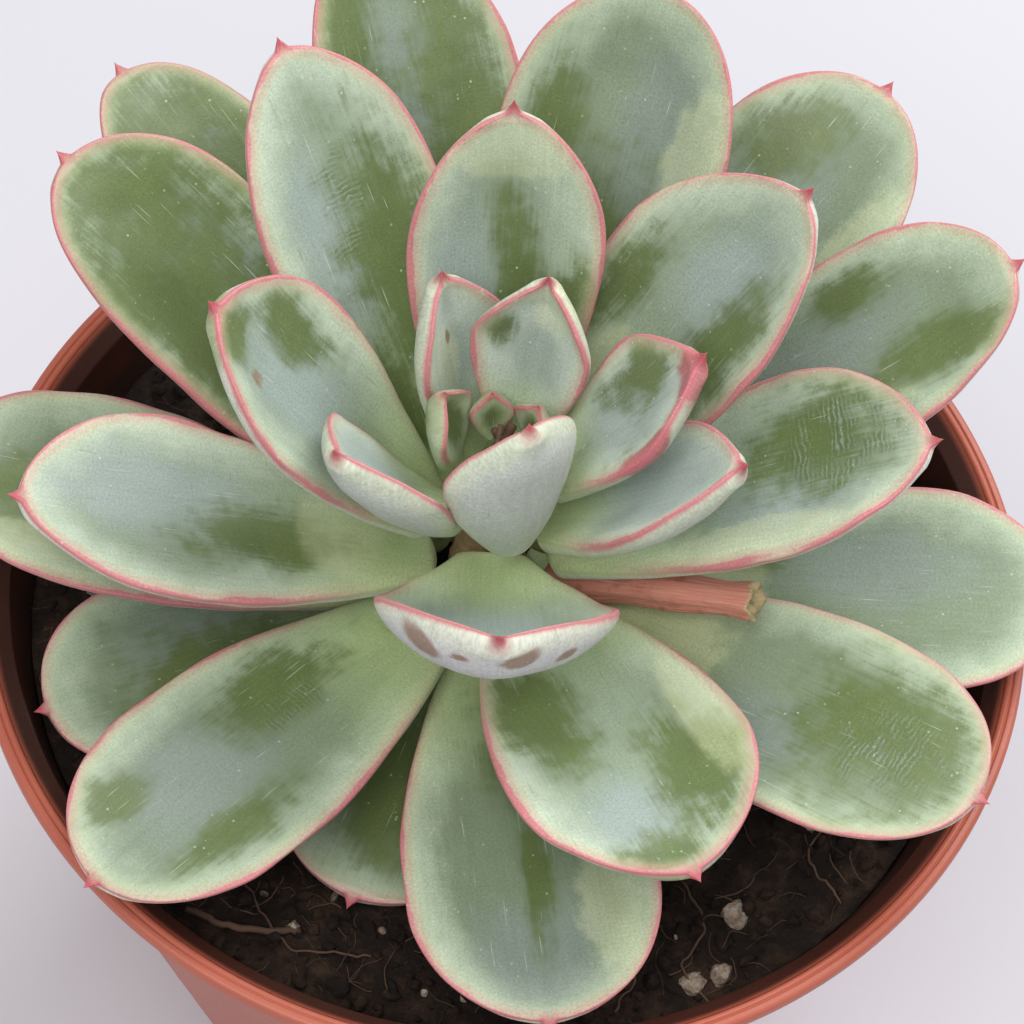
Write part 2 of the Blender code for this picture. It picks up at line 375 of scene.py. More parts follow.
def geometry_tree(name: str, sizes: dict[str, tuple[str, object]]) -> Graph:
    """Makes a geometry tree with one geometry input, named sizes and one geometry output.

    Args:
        name: The tree's name.
        sizes: Socket type and default value of each further input, by name.

    Returns:
        The tree's graph, which holds its input node as "in".
    """
    tree = bpy.data.node_groups.new(name, "GeometryNodeTree")
    tree.is_modifier = True
    tree.interface.new_socket("Geometry", in_out="INPUT", socket_type="NodeSocketGeometry")
    for label, (kind, value) in sizes.items():
        tree.interface.new_socket(label, in_out="INPUT", socket_type=kind).default_value = value
    tree.interface.new_socket("Geometry", in_out="OUTPUT", socket_type="NodeSocketGeometry")
    graph = Graph(tree)
    graph.add("in", "GroupInput")
    return graph


# ---------------------------------------------------------------- leaves: marks and finish


class Rank(Enum):
    """The four ages of leaf, from the rim inwards."""

    OUTER = "outer"
    MIDDLE = "middle"
    INNER = "inner"
    BUD = "bud"


class Wear(Enum):
    """What a mark on a leaf's skin is. The value is the name of the attribute that holds it."""

    RUBBED = "rubbed"  # the waxy bloom is wiped off and the olive flesh shows
    GREY = "greyed"  # thick blue-grey bloom
    SWIRL = "swirled"  # curved finger scratches in the bloom
    YELLOW = "yellowed"  # cream or yellow-green patch
    SCAR = "scarred"  # brown corky spots
    RED = "reddened"  # sun-reddened skin


@dataclass(frozen=True)
class Mark:
    """An oval mark on a leaf's skin.

    across runs from -1 to 1 between the edges, positive to the left looking outwards, and along from
    0 at the foot to 1 at the tip. wide and long are the oval's half sizes and turn its turn.
    """

    kind: Wear
    across: float
    along: float
    wide: float
    long: float
    turn: float = 0.0


@dataclass(frozen=True)
class LeafSkin:
    """Waxy skin of a succulent leaf: green flesh under a matt, pale, easily rubbed bloom.

    The bloom scatters light, so the leaf looks powdery and blue-grey; where it is rubbed off, the
    smooth cuticle shows olive green and shinier. The margin is a thin pink-red line.
    """

    name: str
    bloom: str = "#8DA084"
    bloom_pale: str = "#C3D0B8"
    flesh: str = "#4A5A2B"
    flesh_pale: str = "#6D7E45"
    hollow: str = "#748468"
    # Painted shade for the hollow in the middle of the leaf, darker than its sides.
    grey: str = "#849187"
    # Also the colour of the band inside the edge, where it is partly a painted highlight on the rim.
    cream: str = "#D3DAAE"
    foot: str = "#B4C98A"
    underside: str = "#CFCDD0"
    pink: str = "#C76D79"
    red: str = "#B04C58"
    scar: str = "#8C6C58"
    pink_width: float = 0.34

    def build(self) -> bpy.types.Material:
        """Builds the material, which reads the attributes that LeafShape writes.

        Returns:
            The material.
        """
        material, g = shader_graph(self.name)
        for label in ("skin_mm", "margin_mm", "along", "upper", "tip", *(wear.value for wear in Wear)):
            g.add(label, "Attribute", attribute_name=label)
        at = "@skin_mm.Vector"
        # Pattern sizes are in millimetres: 1 / 7 is about 7 mm across. The real powder, scuffs and
        # fingerprint lines are finer, and are drawn as coarse as they need to be to show.
        lengthwise = (
            ("fine_lines", at, 0, (1 / 0.5, 1 / 9, 1)),
            ("slant_lines", at, 65, (1 / 0.4, 1 / 5, 1)),
            ("cross_lines", at, -35, (1 / 0.22, 1 / 7, 1)),
        )
        for label, vector, turn, scale in lengthwise:
            g.add(label, "Mapping", {"Vector": vector, "Rotation": (0, 0, radians(turn)), "Scale": scale})
        g.add_rows(
            "TexNoise",
            NOISE,
            (
                ("mottle", at, 1 / 7, 4),
                ("patch", at, 1 / 2.6, 6, 0.62),
                ("grain", at, 1 / 0.28, 2),
                ("streak", "@fine_lines", 1, 3),
                ("scuff", "@slant_lines", 1, 4),
                ("scratches", "@cross_lines", 1, 2),
            ),
        )
        g.add("flecks", "TexVoronoi", {"Vector": at, "Scale": 1 / 1.1})
        rings = {"Distortion": 11, "Detail": 5, "Detail Scale": 0.55, "Detail Roughness": 0.7}
        g.add("fingerprint", "TexWave", {"Vector": at, "Scale": 1 / 1.9, **rings}, wave_type="RINGS")

        # Where the bloom is rubbed off: the painted marks, broken up from the clouds down to the grain.
        unevenness = (("mottle", 1.3), ("patch", 1.25), ("scuff", 0.45), ("streak", 0.7), ("grain", 0.8))
        level = "@rubbed.Fac"
        for label, weight in unevenness:
            level = g.add("torn_by_" + label, "Math", {0: "@" + label, 1: weight, 2: level}, **TIMES_PLUS)
        middle = sum(weight for _, weight in unevenness) / 2
        wide = self.pink_width
        g.add_rows(
            "Math",
            (0, 1, 2),
            (
                ("hollow_edge", "@mottle", 6, "@margin_mm.Fac"),
                ("clouded", "@mottle", 0.9, "@greyed.Fac"),
                ("clouded_edge", "@patch", 0.6, "@clouded"),
                ("ragged", "@patch", 1.6, "@margin_mm.Fac"),
                ("line_wave", "@mottle", 3.2 * wide, "@margin_mm.Fac"),
                ("line_edge", "@patch", 1.2 * wide, "@line_wave"),
                ("yellow_torn", "@patch", 0.9, "@yellowed.Fac"),
                ("red_torn", "@patch", 0.7, "@reddened.Fac"),
                ("scar_torn", "@patch", 0.7, "@scarred.Fac"),
            ),
            **TIMES_PLUS,
        )
        g.add_rows(
            "MapRange",
            SPAN,
            (
                # Painted shade: the middle of a leaf, away from its edges, is darkened as the shade in its
                # hollow.
                ("hollow_part", "@hollow_edge", 4.2, 9.5, 0.85),
                ("bare", level, middle - 0.25, middle + 0.6, 0.92),
                ("scuffed", "@scuff", 0.64, 0.76, 0.35),
                # Thick bloom, in soft grey clouds and in the finger scratches.
                ("cloud", "@clouded_edge", 0.45, 1.35, 0.85),
                ("swirl_zone", "@swirled.Fac", 0, 0.5),
                ("swirl_line", "@fingerprint.Fac", 0.5, 0.9, 0.6),
                ("swirl_gaps", "@patch", 0.42, 0.62),
                # The cream band inside the edge, also lightened as a painted highlight on the rim, and the
                # pink line on it with its halo.
                ("band", "@ragged", 3.3, 1.2, 0.36),
                ("line", "@line_edge", 3.7 * wide, 2.6 * wide, 0.88),
                ("halo", "@line_edge", 6.5 * wide, 2.8 * wide, 0.4),
                ("outer_part", "@along.Fac", 0.12, 0.5),
                ("edge_side", "@upper.Fac", -0.4, -0.08),
                ("foot_part", "@along.Fac", 0.5, 0.1, 0.8),
                ("below", "@upper.Fac", -0.04, -0.25, 0.9),
                ("yellow", "@yellow_torn", 0.38, 0.8, 0.35),
                ("reddish", "@red_torn", 0.38, 0.8, 0.8),
                ("brown", "@scar_torn", 0.38, 0.8, 0.85),
                # Crystals of wax and finger scratches catch the light as pale specks and hairlines.
                ("speck", "@flecks.Distance", 0.17, 0.08),
                ("speck_zone", "@patch", 0.5, 0.62, 0.6),
                ("hairline", "@scratches", 0.68, 0.75, 0.5),
            ),
            **SOFT_STEP,
        )
        both = (("bare_lines", "@bare", "@scuffed"), ("coloured_line", "@line", "@halo"))
        g.add_rows("Math", (0, 1), both, operation="MAXIMUM")
        masks = (
            ("swirl_torn", "@swirl_line", "@swirl_gaps"),
            ("swirl", "@swirl_zone", "@swirl_torn"),
            ("margin", "@coloured_line", "@outer_part"),
            ("margin_above", "@margin", "@edge_side"),
            ("specks", "@speck", "@speck_zone"),
        )
        g.add_rows("Math", (0, 1), masks, operation="MULTIPLY")

        bloom = g.coats(self.bloom, [("bloom_tone", "@patch", self.bloom_pale)])
        flesh = g.coats(self.flesh, [("flesh_tone", "@mottle", self.flesh_pale)])
        colour = g.coats(
            bloom,
            [
                ("with_hollow", "@hollow_part", self.hollow),
                ("with_cloud", "@cloud", self.grey),
                ("with_foot", "@foot_part", self.foot),
                ("with_below", "@below", self.underside),
                ("with_bare", "@bare_lines", flesh),
                ("with_swirl", "@swirl", self.grey),
                ("with_yellow", "@yellow", self.cream),
                ("with_band", "@band", self.cream),
                ("with_red", "@reddish", self.red),
                ("with_brown", "@brown", self.scar),
                ("with_margin", "@margin_above", self.pink),
                ("with_tip", "@tip.Fac", self.red),
            ],
        )
        # The powder's grain and the streaks in it make the bloom darker and paler by a few per cent.
        tones = (
            ("powder", "@grain", 0.25, 0.75, 0.76, 1.18, 0.8),
            ("strand", "@streak", 0.3, 0.7, 0.84, 1.12, 0.35),
        )
        for label, value, low, high, dark, pale, part in tones:
            shade = dict(zip((*SPAN[:3], "To Min", "To Max"), (value, low, high, dark, pale)))
            g.add(label, "MapRange", shade)
            g.add(label + "_tone", "CombineXYZ", dict.fromkeys(range(3), "@" + label))
            mixed = {"Factor": part, "A": colour, "B": f"@{label}_tone"}
            colour = g.add(label + "ed", "Mix", mixed, data_type="RGBA", blend_type="MULTIPLY")
        bright = [("specked", "@specks", self.bloom_pale), ("scratched", "@hairline", self.bloom_pale)]
        colour = g.coats(colour, bright)
        g.add("dull", "MapRange", {"Value": "@bare_lines", "To Min": 0.56, "To Max": 0.42})
        g.add("height", "Math", {0: "@grain", 1: 0.35, 2: "@patch"}, **TIMES_PLUS)
        g.add("height_lines", "Math", {0: "@streak", 1: 0.15, 2: "@height"}, **TIMES_PLUS)
        shader = {
            "Base Color": colour,
            "Roughness": "@dull",
            "IOR": 1.45,
            "Subsurface Weight": 0.18,
            "Subsurface Radius": (0.6, 1.0, 0.35),
            "Subsurface Scale": 2.0 * MM,
            "Coat Weight": 0.16,
            "Coat Roughness": 0.3,
        }
        finish_surface(g, shader, "@height_lines", 0.09)
        return material


# ---------------------------------------------------------------- leaves: shape


@dataclass(frozen=True)
class Blade:
    """One leaf: where it leaves the stem, how it is built and what marks it has.

    base is its height above the soil's edge, pitch its climb at mid length, curl its bend up from
    foot to tip, cup the turn of each edge, and fold how far its sides are folded up. flesh_showing is
    how far the olive flesh colour shows all over it, from 0 to 1, and skew how far its tip points to
    the left.
    """

    node: str
    azimuth: float
    base: float
    pitch: float
    curl: float
    length: float
    width: float
    thickness: float
    cup: float
    roll: float = 0.0
    fold: float = 0.0
    marks: tuple[Mark, ...] = ()
    flesh_showing: float = 0.42
    skew: float = 0.0

    @property
    def rank(self) -> Rank:
        """The leaf's rank, from its name."""
        return Rank(self.node.split("_")[0])


RUBBED, GREY, SWIRL, YELLOW, SCAR, RED = Wear

BLADES = (
    Blade(
        "outer_leaf_01", 109, 6.6, 43, 0, 69, 25, 5.0, 22, 6, 0.4,
        (Mark(RUBBED, -0.5, 0.6, 8, 30), Mark(RUBBED, 0.6, 0.85, 5, 12), Mark(GREY, 0.15, 0.7, 5, 18)),
        0.5, 2.6,
    ),
    # outer_leaf_02 and outer_leaf_03 show much of their olive flesh colour all over, so they are darker.
    Blade(
        "outer_leaf_02", 137, 3.5, 29, 0, 66, 25, 5.0, 20, 12, 0.3,
        (Mark(GREY, -0.2, 0.8, 5, 8), Mark(RUBBED, 0.1, 0.7, 15, 34)), 1.35, 1.8,
    ),
    Blade(
        "outer_leaf_03", 153, 11, 35, 4, 60, 25, 5.0, 24, 0, 0.3,
        (
            Mark(GREY, -0.35, 0.6, 5, 14), Mark(RUBBED, 0.45, 0.62, 9, 22), Mark(RUBBED, 0.0, 0.9, 9, 8),
            Mark(RUBBED, 0.1, 0.3, 10, 14),
        ),
        1.35, 2.4,
    ),
    Blade(
        "outer_leaf_04", 77, 11, 51, 2, 63, 27, 5.0, 22, 0, 2.6,
        (
            Mark(GREY, -0.35, 0.72, 6, 14), Mark(RUBBED, 0.1, 0.42, 13, 17),
            Mark(RUBBED, 0.55, 0.7, 4, 12), Mark(YELLOW, -0.7, 0.72, 4, 10),
        ),
        0.55,
    ),
    Blade(
        "outer_leaf_05", 52, 6, 35, 2, 66, 28, 5.0, 22, 0, 0.4,
        (
            Mark(GREY, 0.1, 0.72, 7, 10), Mark(RUBBED, -0.1, 0.5, 9, 12), Mark(YELLOW, -0.7, 0.7, 4, 14),
            Mark(RUBBED, 0.4, 0.85, 6, 7),
        ),
        0.6,
    ),
    Blade(
        "outer_leaf_06", 23, 11, 38, 4, 63, 25, 5.0, 24, 0, 0.3,
        (
            Mark(GREY, 0.1, 0.6, 7, 14), Mark(RUBBED, -0.35, 0.84, 4.5, 10, 12),
            Mark(RUBBED, 0.6, 0.72, 3.2, 5.5), Mark(YELLOW, -0.7, 0.62, 4, 10),
        ),
    ),
    Blade(
        "outer_leaf_07", 1, 4, 11, -2, 59, 28, 5.0, 20, 0, 0.2,
        (Mark(GREY, 0.25, 0.66, 6, 12), Mark(RUBBED, 0.35, 0.42, 2.5, 4), Mark(YELLOW, 0.0, 0.35, 8, 6)),
    ),
    Blade(
        "outer_leaf_08", -27, 9, 13, -2, 57, 27, 5.0, 18, 0, 0.2,
        (
            Mark(RUBBED, 0.12, 0.79, 11, 12.5), Mark(SWIRL, -0.05, 0.82, 8, 8),
            Mark(GREY, -0.3, 0.58, 6, 8), Mark(YELLOW, 0.1, 0.3, 8, 8),
        ),
    ),
    Blade(
        "outer_leaf_09", -77, 6.5, 5, 0, 51, 28, 5.0, 18, 0, 0.2,
        (
            Mark(RUBBED, 0.05, 0.68, 2.2, 10), Mark(GREY, 0.0, 0.85, 8, 8),
            Mark(RUBBED, 0.2, 0.32, 8, 10), Mark(YELLOW, 0.6, 0.75, 4, 10),
        ),
        0.4,
    ),
    Blade(
        "outer_leaf_10", -127, 10, 7, 0, 55, 25, 5.0, 20, 0, 0.2,
        (
            Mark(RUBBED, -0.45, 0.86, 3.5, 5), Mark(RUBBED, 0.5, 0.72, 3, 9),
            Mark(RUBBED, -0.35, 0.45, 5, 10), Mark(GREY, -0.1, 0.72, 8, 11),
            Mark(SWIRL, 0.1, 0.45, 6, 9),
        ),
        0.55,
    ),
    Blade(
        "outer_leaf_11", -153, 3, 3, 0, 46, 25, 4.5, 18, 0, 0.2,
        (Mark(RUBBED, 0.2, 0.55, 9, 14), Mark(GREY, -0.2, 0.6, 6, 10)), 0.5,
    ),
    Blade(
        "outer_leaf_12", -176, 7, 16, 0, 57, 26, 5.0, 20, 0, 0.2,
        (Mark(RUBBED, 0.1, 0.78, 7, 12), Mark(YELLOW, 0.7, 0.8, 4, 12)),
    ),
    Blade("outer_leaf_13", -104, 1, 0, 0, 35, 24, 4.5, 18, 0, 0.2, (Mark(RUBBED, 0.0, 0.6, 8, 12),)),
    Blade("outer_leaf_14", 167, 1, 3, 0, 36, 18, 4.0, 18, 0, 0.2, (Mark(RUBBED, 0.0, 0.6, 7, 12),)),
    Blade("outer_leaf_15", 97, 1.5, 8, 0, 42, 24, 4.5, 18, 0, 0.2, (Mark(RUBBED, 0.2, 0.6, 7, 12),)),
    Blade("outer_leaf_16", 37, 0.5, 4, 0, 38, 20, 4.0, 18, 0, 0.2, (Mark(RUBBED, -0.2, 0.5, 7, 10),)),
    Blade(
        "middle_leaf_01", 132, 18, 49, 2, 55, 23, 5.0, 26, 0, 0.4,
        (
            Mark(RUBBED, -0.35, 0.5, 8, 20), Mark(GREY, 0.3, 0.6, 5, 13), Mark(RUBBED, 0.3, 0.25, 6, 8),
            Mark(SWIRL, 0.2, 0.7, 6, 9),
        ),
        0.5,
    ),
    Blade(
        "middle_leaf_02", 41, 21.5, 53, 6, 48, 25, 5.0, 28, 0, 2.0,
        (
            Mark(GREY, -0.1, 0.72, 6, 9), Mark(RUBBED, -0.5, 0.6, 5, 11),
            Mark(RUBBED, 0.65, 0.55, 3.5, 9), Mark(YELLOW, 0.3, 0.35, 5, 7),
        ),
        0.45, -2.2,
    ),
    Blade(
        "middle_leaf_03", 4, 17, 37, 6, 48, 24, 5.0, 28, 0, 0.4,
        (
            Mark(RUBBED, 0.2, 0.74, 8, 10), Mark(SWIRL, 0.15, 0.8, 8, 9), Mark(GREY, -0.35, 0.66, 5, 9),
            Mark(YELLOW, -0.7, 0.55, 3, 14),
        ),
        0.45, -1.6,
    ),
    Blade(
        "middle_leaf_04", -59, 15, 14, 2, 45, 28, 5.0, 24, 0, 0.3,
        (
            Mark(GREY, -0.2, 0.8, 6, 6), Mark(RUBBED, 0.5, 0.75, 7, 10), Mark(RUBBED, -0.2, 0.95, 7, 4),
            Mark(RUBBED, -0.45, 0.45, 6, 10), Mark(YELLOW, 0.75, 0.6, 3, 12),
        ),
    ),
    Blade(
        "middle_leaf_05", -164, 15.5, 25, 4, 50, 24, 5.0, 26, 0, 0.4,
        (Mark(GREY, -0.2, 0.7, 6, 13), Mark(RUBBED, 0.15, 0.45, 5, 11), Mark(YELLOW, 0.0, 0.25, 7, 6)),
        0.4,
    ),
    Blade(
        "middle_leaf_06", 97, 24, 62, 8, 43, 22, 4.8, 32, 0, 1.8,
        (
            Mark(RUBBED, -0.2, 0.55, 3.4, 15, -10), Mark(GREY, 0.45, 0.5, 5, 12),
            Mark(RUBBED, -0.75, 0.5, 3, 6), Mark(YELLOW, 0.0, 0.9, 8, 4),
        ),
    ),
    Blade(
        "middle_leaf_07", 179, 23, 53, 14, 41, 22, 4.8, 36, -8, 0.4,
        (
            Mark(GREY, 0.0, 0.65, 7, 12), Mark(RUBBED, -0.45, 0.75, 4, 8), Mark(RUBBED, 0.1, 0.95, 5, 4),
            Mark(SCAR, 0.3, 0.8, 1.2, 1.6),
        ),
    ),
    Blade(
        "middle_leaf_08", -85, 24, 42, 64, 32, 27, 5.0, 36, 0, 1.6,
        (
            Mark(GREY, 0.0, 0.6, 9, 8), Mark(SCAR, -0.55, 0.84, 3.0, 2.4),
            Mark(SCAR, 0.15, 0.93, 2.4, 1.8), Mark(SCAR, 0.5, 0.84, 1.5, 1.2),
            Mark(SCAR, -0.25, 0.9, 1.2, 1.0),
        ),
    ),
    Blade("inner_leaf_01", -15, 27, 50, 18, 31, 17, 4.5, 36, 0, 0.8, (Mark(GREY, 0.0, 0.6, 6, 10),)),
    Blade("inner_leaf_02", -148, 30.5, 54, 24, 24, 18, 4.2, 36, 16, 1.0, (Mark(GREY, 0.0, 0.6, 6, 8),)),
    Blade(
        "inner_leaf_03", 13, 33, 56, 16, 26, 16, 4.2, 36, 0, 0.8,
        (
            Mark(GREY, 0.0, 0.5, 5, 8), Mark(RUBBED, 0.45, 0.72, 4, 7), Mark(RED, -0.2, 1.0, 5, 4.5),
            Mark(RED, -0.95, 0.75, 2, 8),
        ),
        0.7,
    ),
    Blade(
        "inner_leaf_04", 126, 30.2, 69, 15, 24, 14, 4.0, 40, 18, 1.6,
        (Mark(YELLOW, 0.3, 0.6, 3, 5), Mark(SCAR, 0.1, 0.7, 0.7, 1.4)),
    ),
    Blade(
        "inner_leaf_05", 77, 34, 73, 16, 22, 14, 4.0, 40, 0, 3.4,
        (Mark(RUBBED, 0.6, 0.7, 2, 3), Mark(YELLOW, -0.2, 0.85, 3, 4)),
    ),
    Blade("inner_leaf_06", -70, 31.5, 85, 22, 23, 17, 4.0, 44, 18, 0.8, (Mark(GREY, 0.0, 0.5, 4, 6),)),
    Blade("bud_leaf_01", 166, 35, 81, 16, 12, 8, 3.0, 30, 0, 1.2, (Mark(RUBBED, 0.0, 0.6, 3, 5),)),
    Blade("bud_leaf_02", 109, 37, 84, 10, 7, 5, 2.2, 30, 0, 0.3, (Mark(RUBBED, 0.0, 0.6, 2, 3),)),
    Blade("bud_leaf_03", 42, 36, 91, 10, 9, 6, 2.6, 30, 0, 0.3, (Mark(RUBBED, 0.0, 0.6, 2, 4),)),
)


@dataclass(frozen=True)
class LeafShape:
    """How every blade swells, thins and ends, as shares of its own sizes, and its mesh's fineness."""

    widest_at: float = 0.66
    foot_share: float = 0.26
    foot_rounding: float = 0.03
    thinning: float = 0.45
    tip_bluntness: float = 12
    upper_share: float = 0.35
    apex_taper: float = 1.2
    point_length: float = 1.5
    point_radius: float = 1.6
    rings: int = 66
    point_rings: int = 6
    around: int = 48
    outline_waver: float = 0.02
    face_waves: float = 0.22
    edge_waves: float = 0.3

    def apex_roundness(self, rank: Rank) -> float:
        """How blunt the tip's outline is, by rank."""
        return {Rank.OUTER: 2.5, Rank.MIDDLE: 2.05, Rank.INNER: 1.6, Rank.BUD: 1.4}[rank]

    def outline(self, blade: Blade, station: np.ndarray) -> np.ndarray:
        """Half width of a blade, with its small pointed tip.

        Args:
            blade: The leaf.
            station: Distances from its foot along it, in millimetres.

        Returns:
            Half widths in millimetres.
        """
        along = np.clip(station / blade.length, 0, 1)
        grown = np.clip(along / self.widest_at, 0, 1)
        past = np.clip((along - self.widest_at) / (1 - self.widest_at), 0, 1)
        rise = self.foot_share + (1 - self.foot_share) * (1.5 * grown - 0.5 * grown**3)
        roundness = self.apex_roundness(blade.rank)
        share = np.where(along < self.widest_at, rise, (1 - past**roundness) ** (self.apex_taper / roundness))
        body = blade.width / 2 * share * np.sqrt(np.clip(along / self.foot_rounding, 0, 1))
        return (body**3 + self.point(blade, station) ** 3) ** (1 / 3)

    def point(self, blade: Blade, station: np.ndarray) -> np.ndarray:
        """Radius of the small point at the tip, which starts a little inside the blade.

        Args:
            blade: The leaf.
            station: Distances from its foot along it, in millimetres.

        Returns:
            Radii in millimetres.
        """
        size = min(1.0, blade.length / 26)
        start, end = blade.length - 0.9 * size, blade.length + self.point_length * size
        left = np.clip((end - station) / (end - start), 0, 1)
        ramp = np.clip((station - start + 4 * size) / (4 * size), 0, 1)
        return self.point_radius * size * left**1.3 * ramp

    def thickness(self, blade: Blade, station: np.ndarray) -> np.ndarray:
        """Thickness of a blade.

        Args:
            blade: The leaf.
            station: Distances from its foot along it, in millimetres.

        Returns:
            Thicknesses in millimetres.
        """
        along = np.clip(station / blade.length, 0, 1)
        blunt = np.sqrt(1 - along**self.tip_bluntness) * np.sqrt(np.clip(along / self.foot_rounding, 0, 1))
        body = blade.thickness * (1 - self.thinning * along**2) * blunt
        return (body**3 + (1.3 * self.point(blade, station)) ** 3) ** (1 / 3)

    def stations(self, blade: Blade) -> np.ndarray:
        """Spaces a blade's rings, close together at both ends.

        Args:
            blade: The leaf.

        Returns:
            The rings' distances from the foot, in millimetres.
        """
        body = blade.length * (1 - np.cos(np.linspace(0, pi, self.rings))) / 2
        size = min(1.0, blade.length / 26)
        tip = blade.length + self.point_length * size * np.linspace(0, 1, self.point_rings + 1)[1:]
        return np.concatenate([body, tip])

    def margin(self, blade: Blade, across: np.ndarray, station: np.ndarray) -> np.ndarray:
        """Distance of points of a blade to its edge, seen flat.

        Args:
            blade: The leaf.
            across: Distances from the middle line, in millimetres.
            station: Distances from the foot, in millimetres.

        Returns:
            Distances in millimetres.
        """
        rim = self.stations(blade)
        half = self.outline(blade, rim)
        gap_x = np.abs(across)[..., None] - half
        gap_y = station[..., None] - rim
        return np.sqrt(gap_x**2 + gap_y**2).min(axis=-1)

    def mark_field(self, blade: Blade, kind: Wear, across: np.ndarray, station: np.ndarray) -> np.ndarray:
        """How deep inside a blade's marks of one kind each point is: 1 in a middle, 0 at an edge.

        Args:
            blade: The leaf.
            kind: The kind of mark.
            across: Distances from the middle line, in millimetres.
            station: Distances from the foot, in millimetres.

        Returns:
            Values from -1 to 1.
        """
        depth = np.full(across.shape, blade.flesh_showing - 0.9 if kind is Wear.RUBBED else -1.0)
        for mark in blade.marks:
            if mark.kind is not kind:
                continue
            x = across - mark.across * blade.width / 2
            y = station - mark.along * blade.length
            turn = radians(mark.turn)
            wide = (x * cos(turn) + y * sin(turn)) / mark.wide
            long = (y * cos(turn) - x * sin(turn)) / mark.long
            depth = np.maximum(depth, 1 - np.sqrt(wide**2 + long**2))
        return depth

    def mesh(self, blade: Blade, stem: "Stem", seed: int) -> bpy.types.Mesh:
        """Builds a blade's skin, in place, with the attributes that its finish reads.

        Args:
            blade: The leaf.
            stem: The stem that it grows from.
            seed: Chooses its small unevenness.

        Returns:
            The closed mesh.
        """
        station = self.stations(blade)[:, None]
        around = (np.arange(self.around) * 2 * pi / self.around)[None, :]
        half = self.outline(blade, station) * (
            1 + self.outline_waver * ripple(seed, station, 30 * np.sign(np.cos(around)), 26)
        )
        flat_side = half * np.cos(around)
        along = station / blade.length
        curl = radians(blade.curl or 0.01)
        first = radians(blade.pitch) - curl / 2
        here = first + curl * along
        forward = blade.length / curl * (np.sin(here) - sin(first))
        climb = blade.length / curl * (cos(first) - np.cos(here))
        cup = radians(blade.cup)
        turn = cup * np.cos(around)
        side = half * np.sin(turn) / cup
        lift = half * (1 - np.cos(turn)) / cup
        share = np.where(np.sin(around) > 0, self.upper_share, 1 - self.upper_share)
        skin = self.thickness(blade, station) * share * np.sin(around)
        side = side - skin * np.sin(turn)
        lift = lift + skin * np.cos(turn)
        # Small unevenness, folded sides and a slightly wavy edge.
        body = np.clip(along * 3, 0, 1) * np.clip((1.02 - along) * 8, 0, 1)
        edge = np.abs(np.cos(around)) ** 3
        lift = lift + self.face_waves * body * ripple(seed + 1, flat_side, station, 19)
        lift = lift + self.edge_waves * body * edge * ripple(
            seed + 2, flat_side * 0 + np.sign(np.cos(around)) * 40, station, 17
        )
        fold = np.sqrt(np.cos(around) ** 2 + 0.02) - 0.14
        lift = lift + blade.fold * (fold - 0.5) * np.clip(along * 1.6 - 0.3, 0, 1) * np.clip(
            (1.04 - along) * 5, 0, 1
        )
        side = side + blade.skew * np.clip(2 * along - 1, 0, 1.1) ** 2
        roll = radians(blade.roll)
        side, lift = side * cos(roll) - lift * sin(roll), side * sin(roll) + lift * cos(roll)
        out = forward - lift * np.sin(here) + stem.leaf_start(blade)
        up = climb + lift * np.cos(here)
        azimuth = radians(blade.azimuth)
        foot = stem.point(blade.base)
        points = np.stack(
            [
                foot.x + (out * cos(azimuth) - side * sin(azimuth)) * MM,
                foot.y + (out * sin(azimuth) + side * cos(azimuth)) * MM,
                foot.z + up * MM,
            ],
            axis=2,
        )
        flat_station = np.broadcast_to(station, flat_side.shape)
        upper = np.broadcast_to(np.sin(around), flat_side.shape)
        skin_mm = np.stack([flat_side + 37.0 * seed, flat_station, np.where(upper < 0, 11.0, 0.0)], axis=2)
        tip = np.clip(
            (flat_station - blade.length + 0.9) / 1.6, 0, 1
        ) * np.clip(1.4 - np.abs(flat_side), 0, 1)
        attributes = {
            "skin_mm": skin_mm,
            "margin_mm": self.margin(blade, flat_side, flat_station),
            "along": flat_station / blade.length,
            "upper": upper,
            "tip": tip,
        }
        attributes |= {kind.value: self.mark_field(blade, kind, flat_side, flat_station) for kind in Wear}
        return ring_mesh(blade.node, points, attributes)


# ---------------------------------------------------------------- stem and flower stalk


@dataclass(frozen=True)
class StemBark:
    """Dry skin of a short succulent stem: tan and brown, corky, with old leaf scars."""

    name: str = "corky_stem_skin"
    pale: str = "#A98F68"
    dark: str = "#6B4A33"

    def build(self) -> bpy.types.Material:
        """Builds the material.

        Returns:
            The material.
        """
        material, g = shader_graph(self.name)
        g.add("place", "TexCoord")
        g.add("rings", "Mapping", {"Vector": "@place.Object", "Scale": (1.0, 1.0, 3.0)})
        g.add("cork", "TexNoise", {"Vector": "@rings", "Scale": 1 / (2.5 * MM), "Detail": 6.0})
        g.add("grit", "TexNoise", {"Vector": "@place.Object", "Scale": 1 / (0.4 * MM), "Detail": 2.0})
        colour = g.coats(self.dark, [("tone", "@cork", self.pale)])
        g.add("height", "Math", {0: "@grit", 1: 0.4, 2: "@cork"}, **TIMES_PLUS)
        finish_surface(g, {"Base Color": colour, "Roughness": 0.8}, "@height", 0.5)
        return material


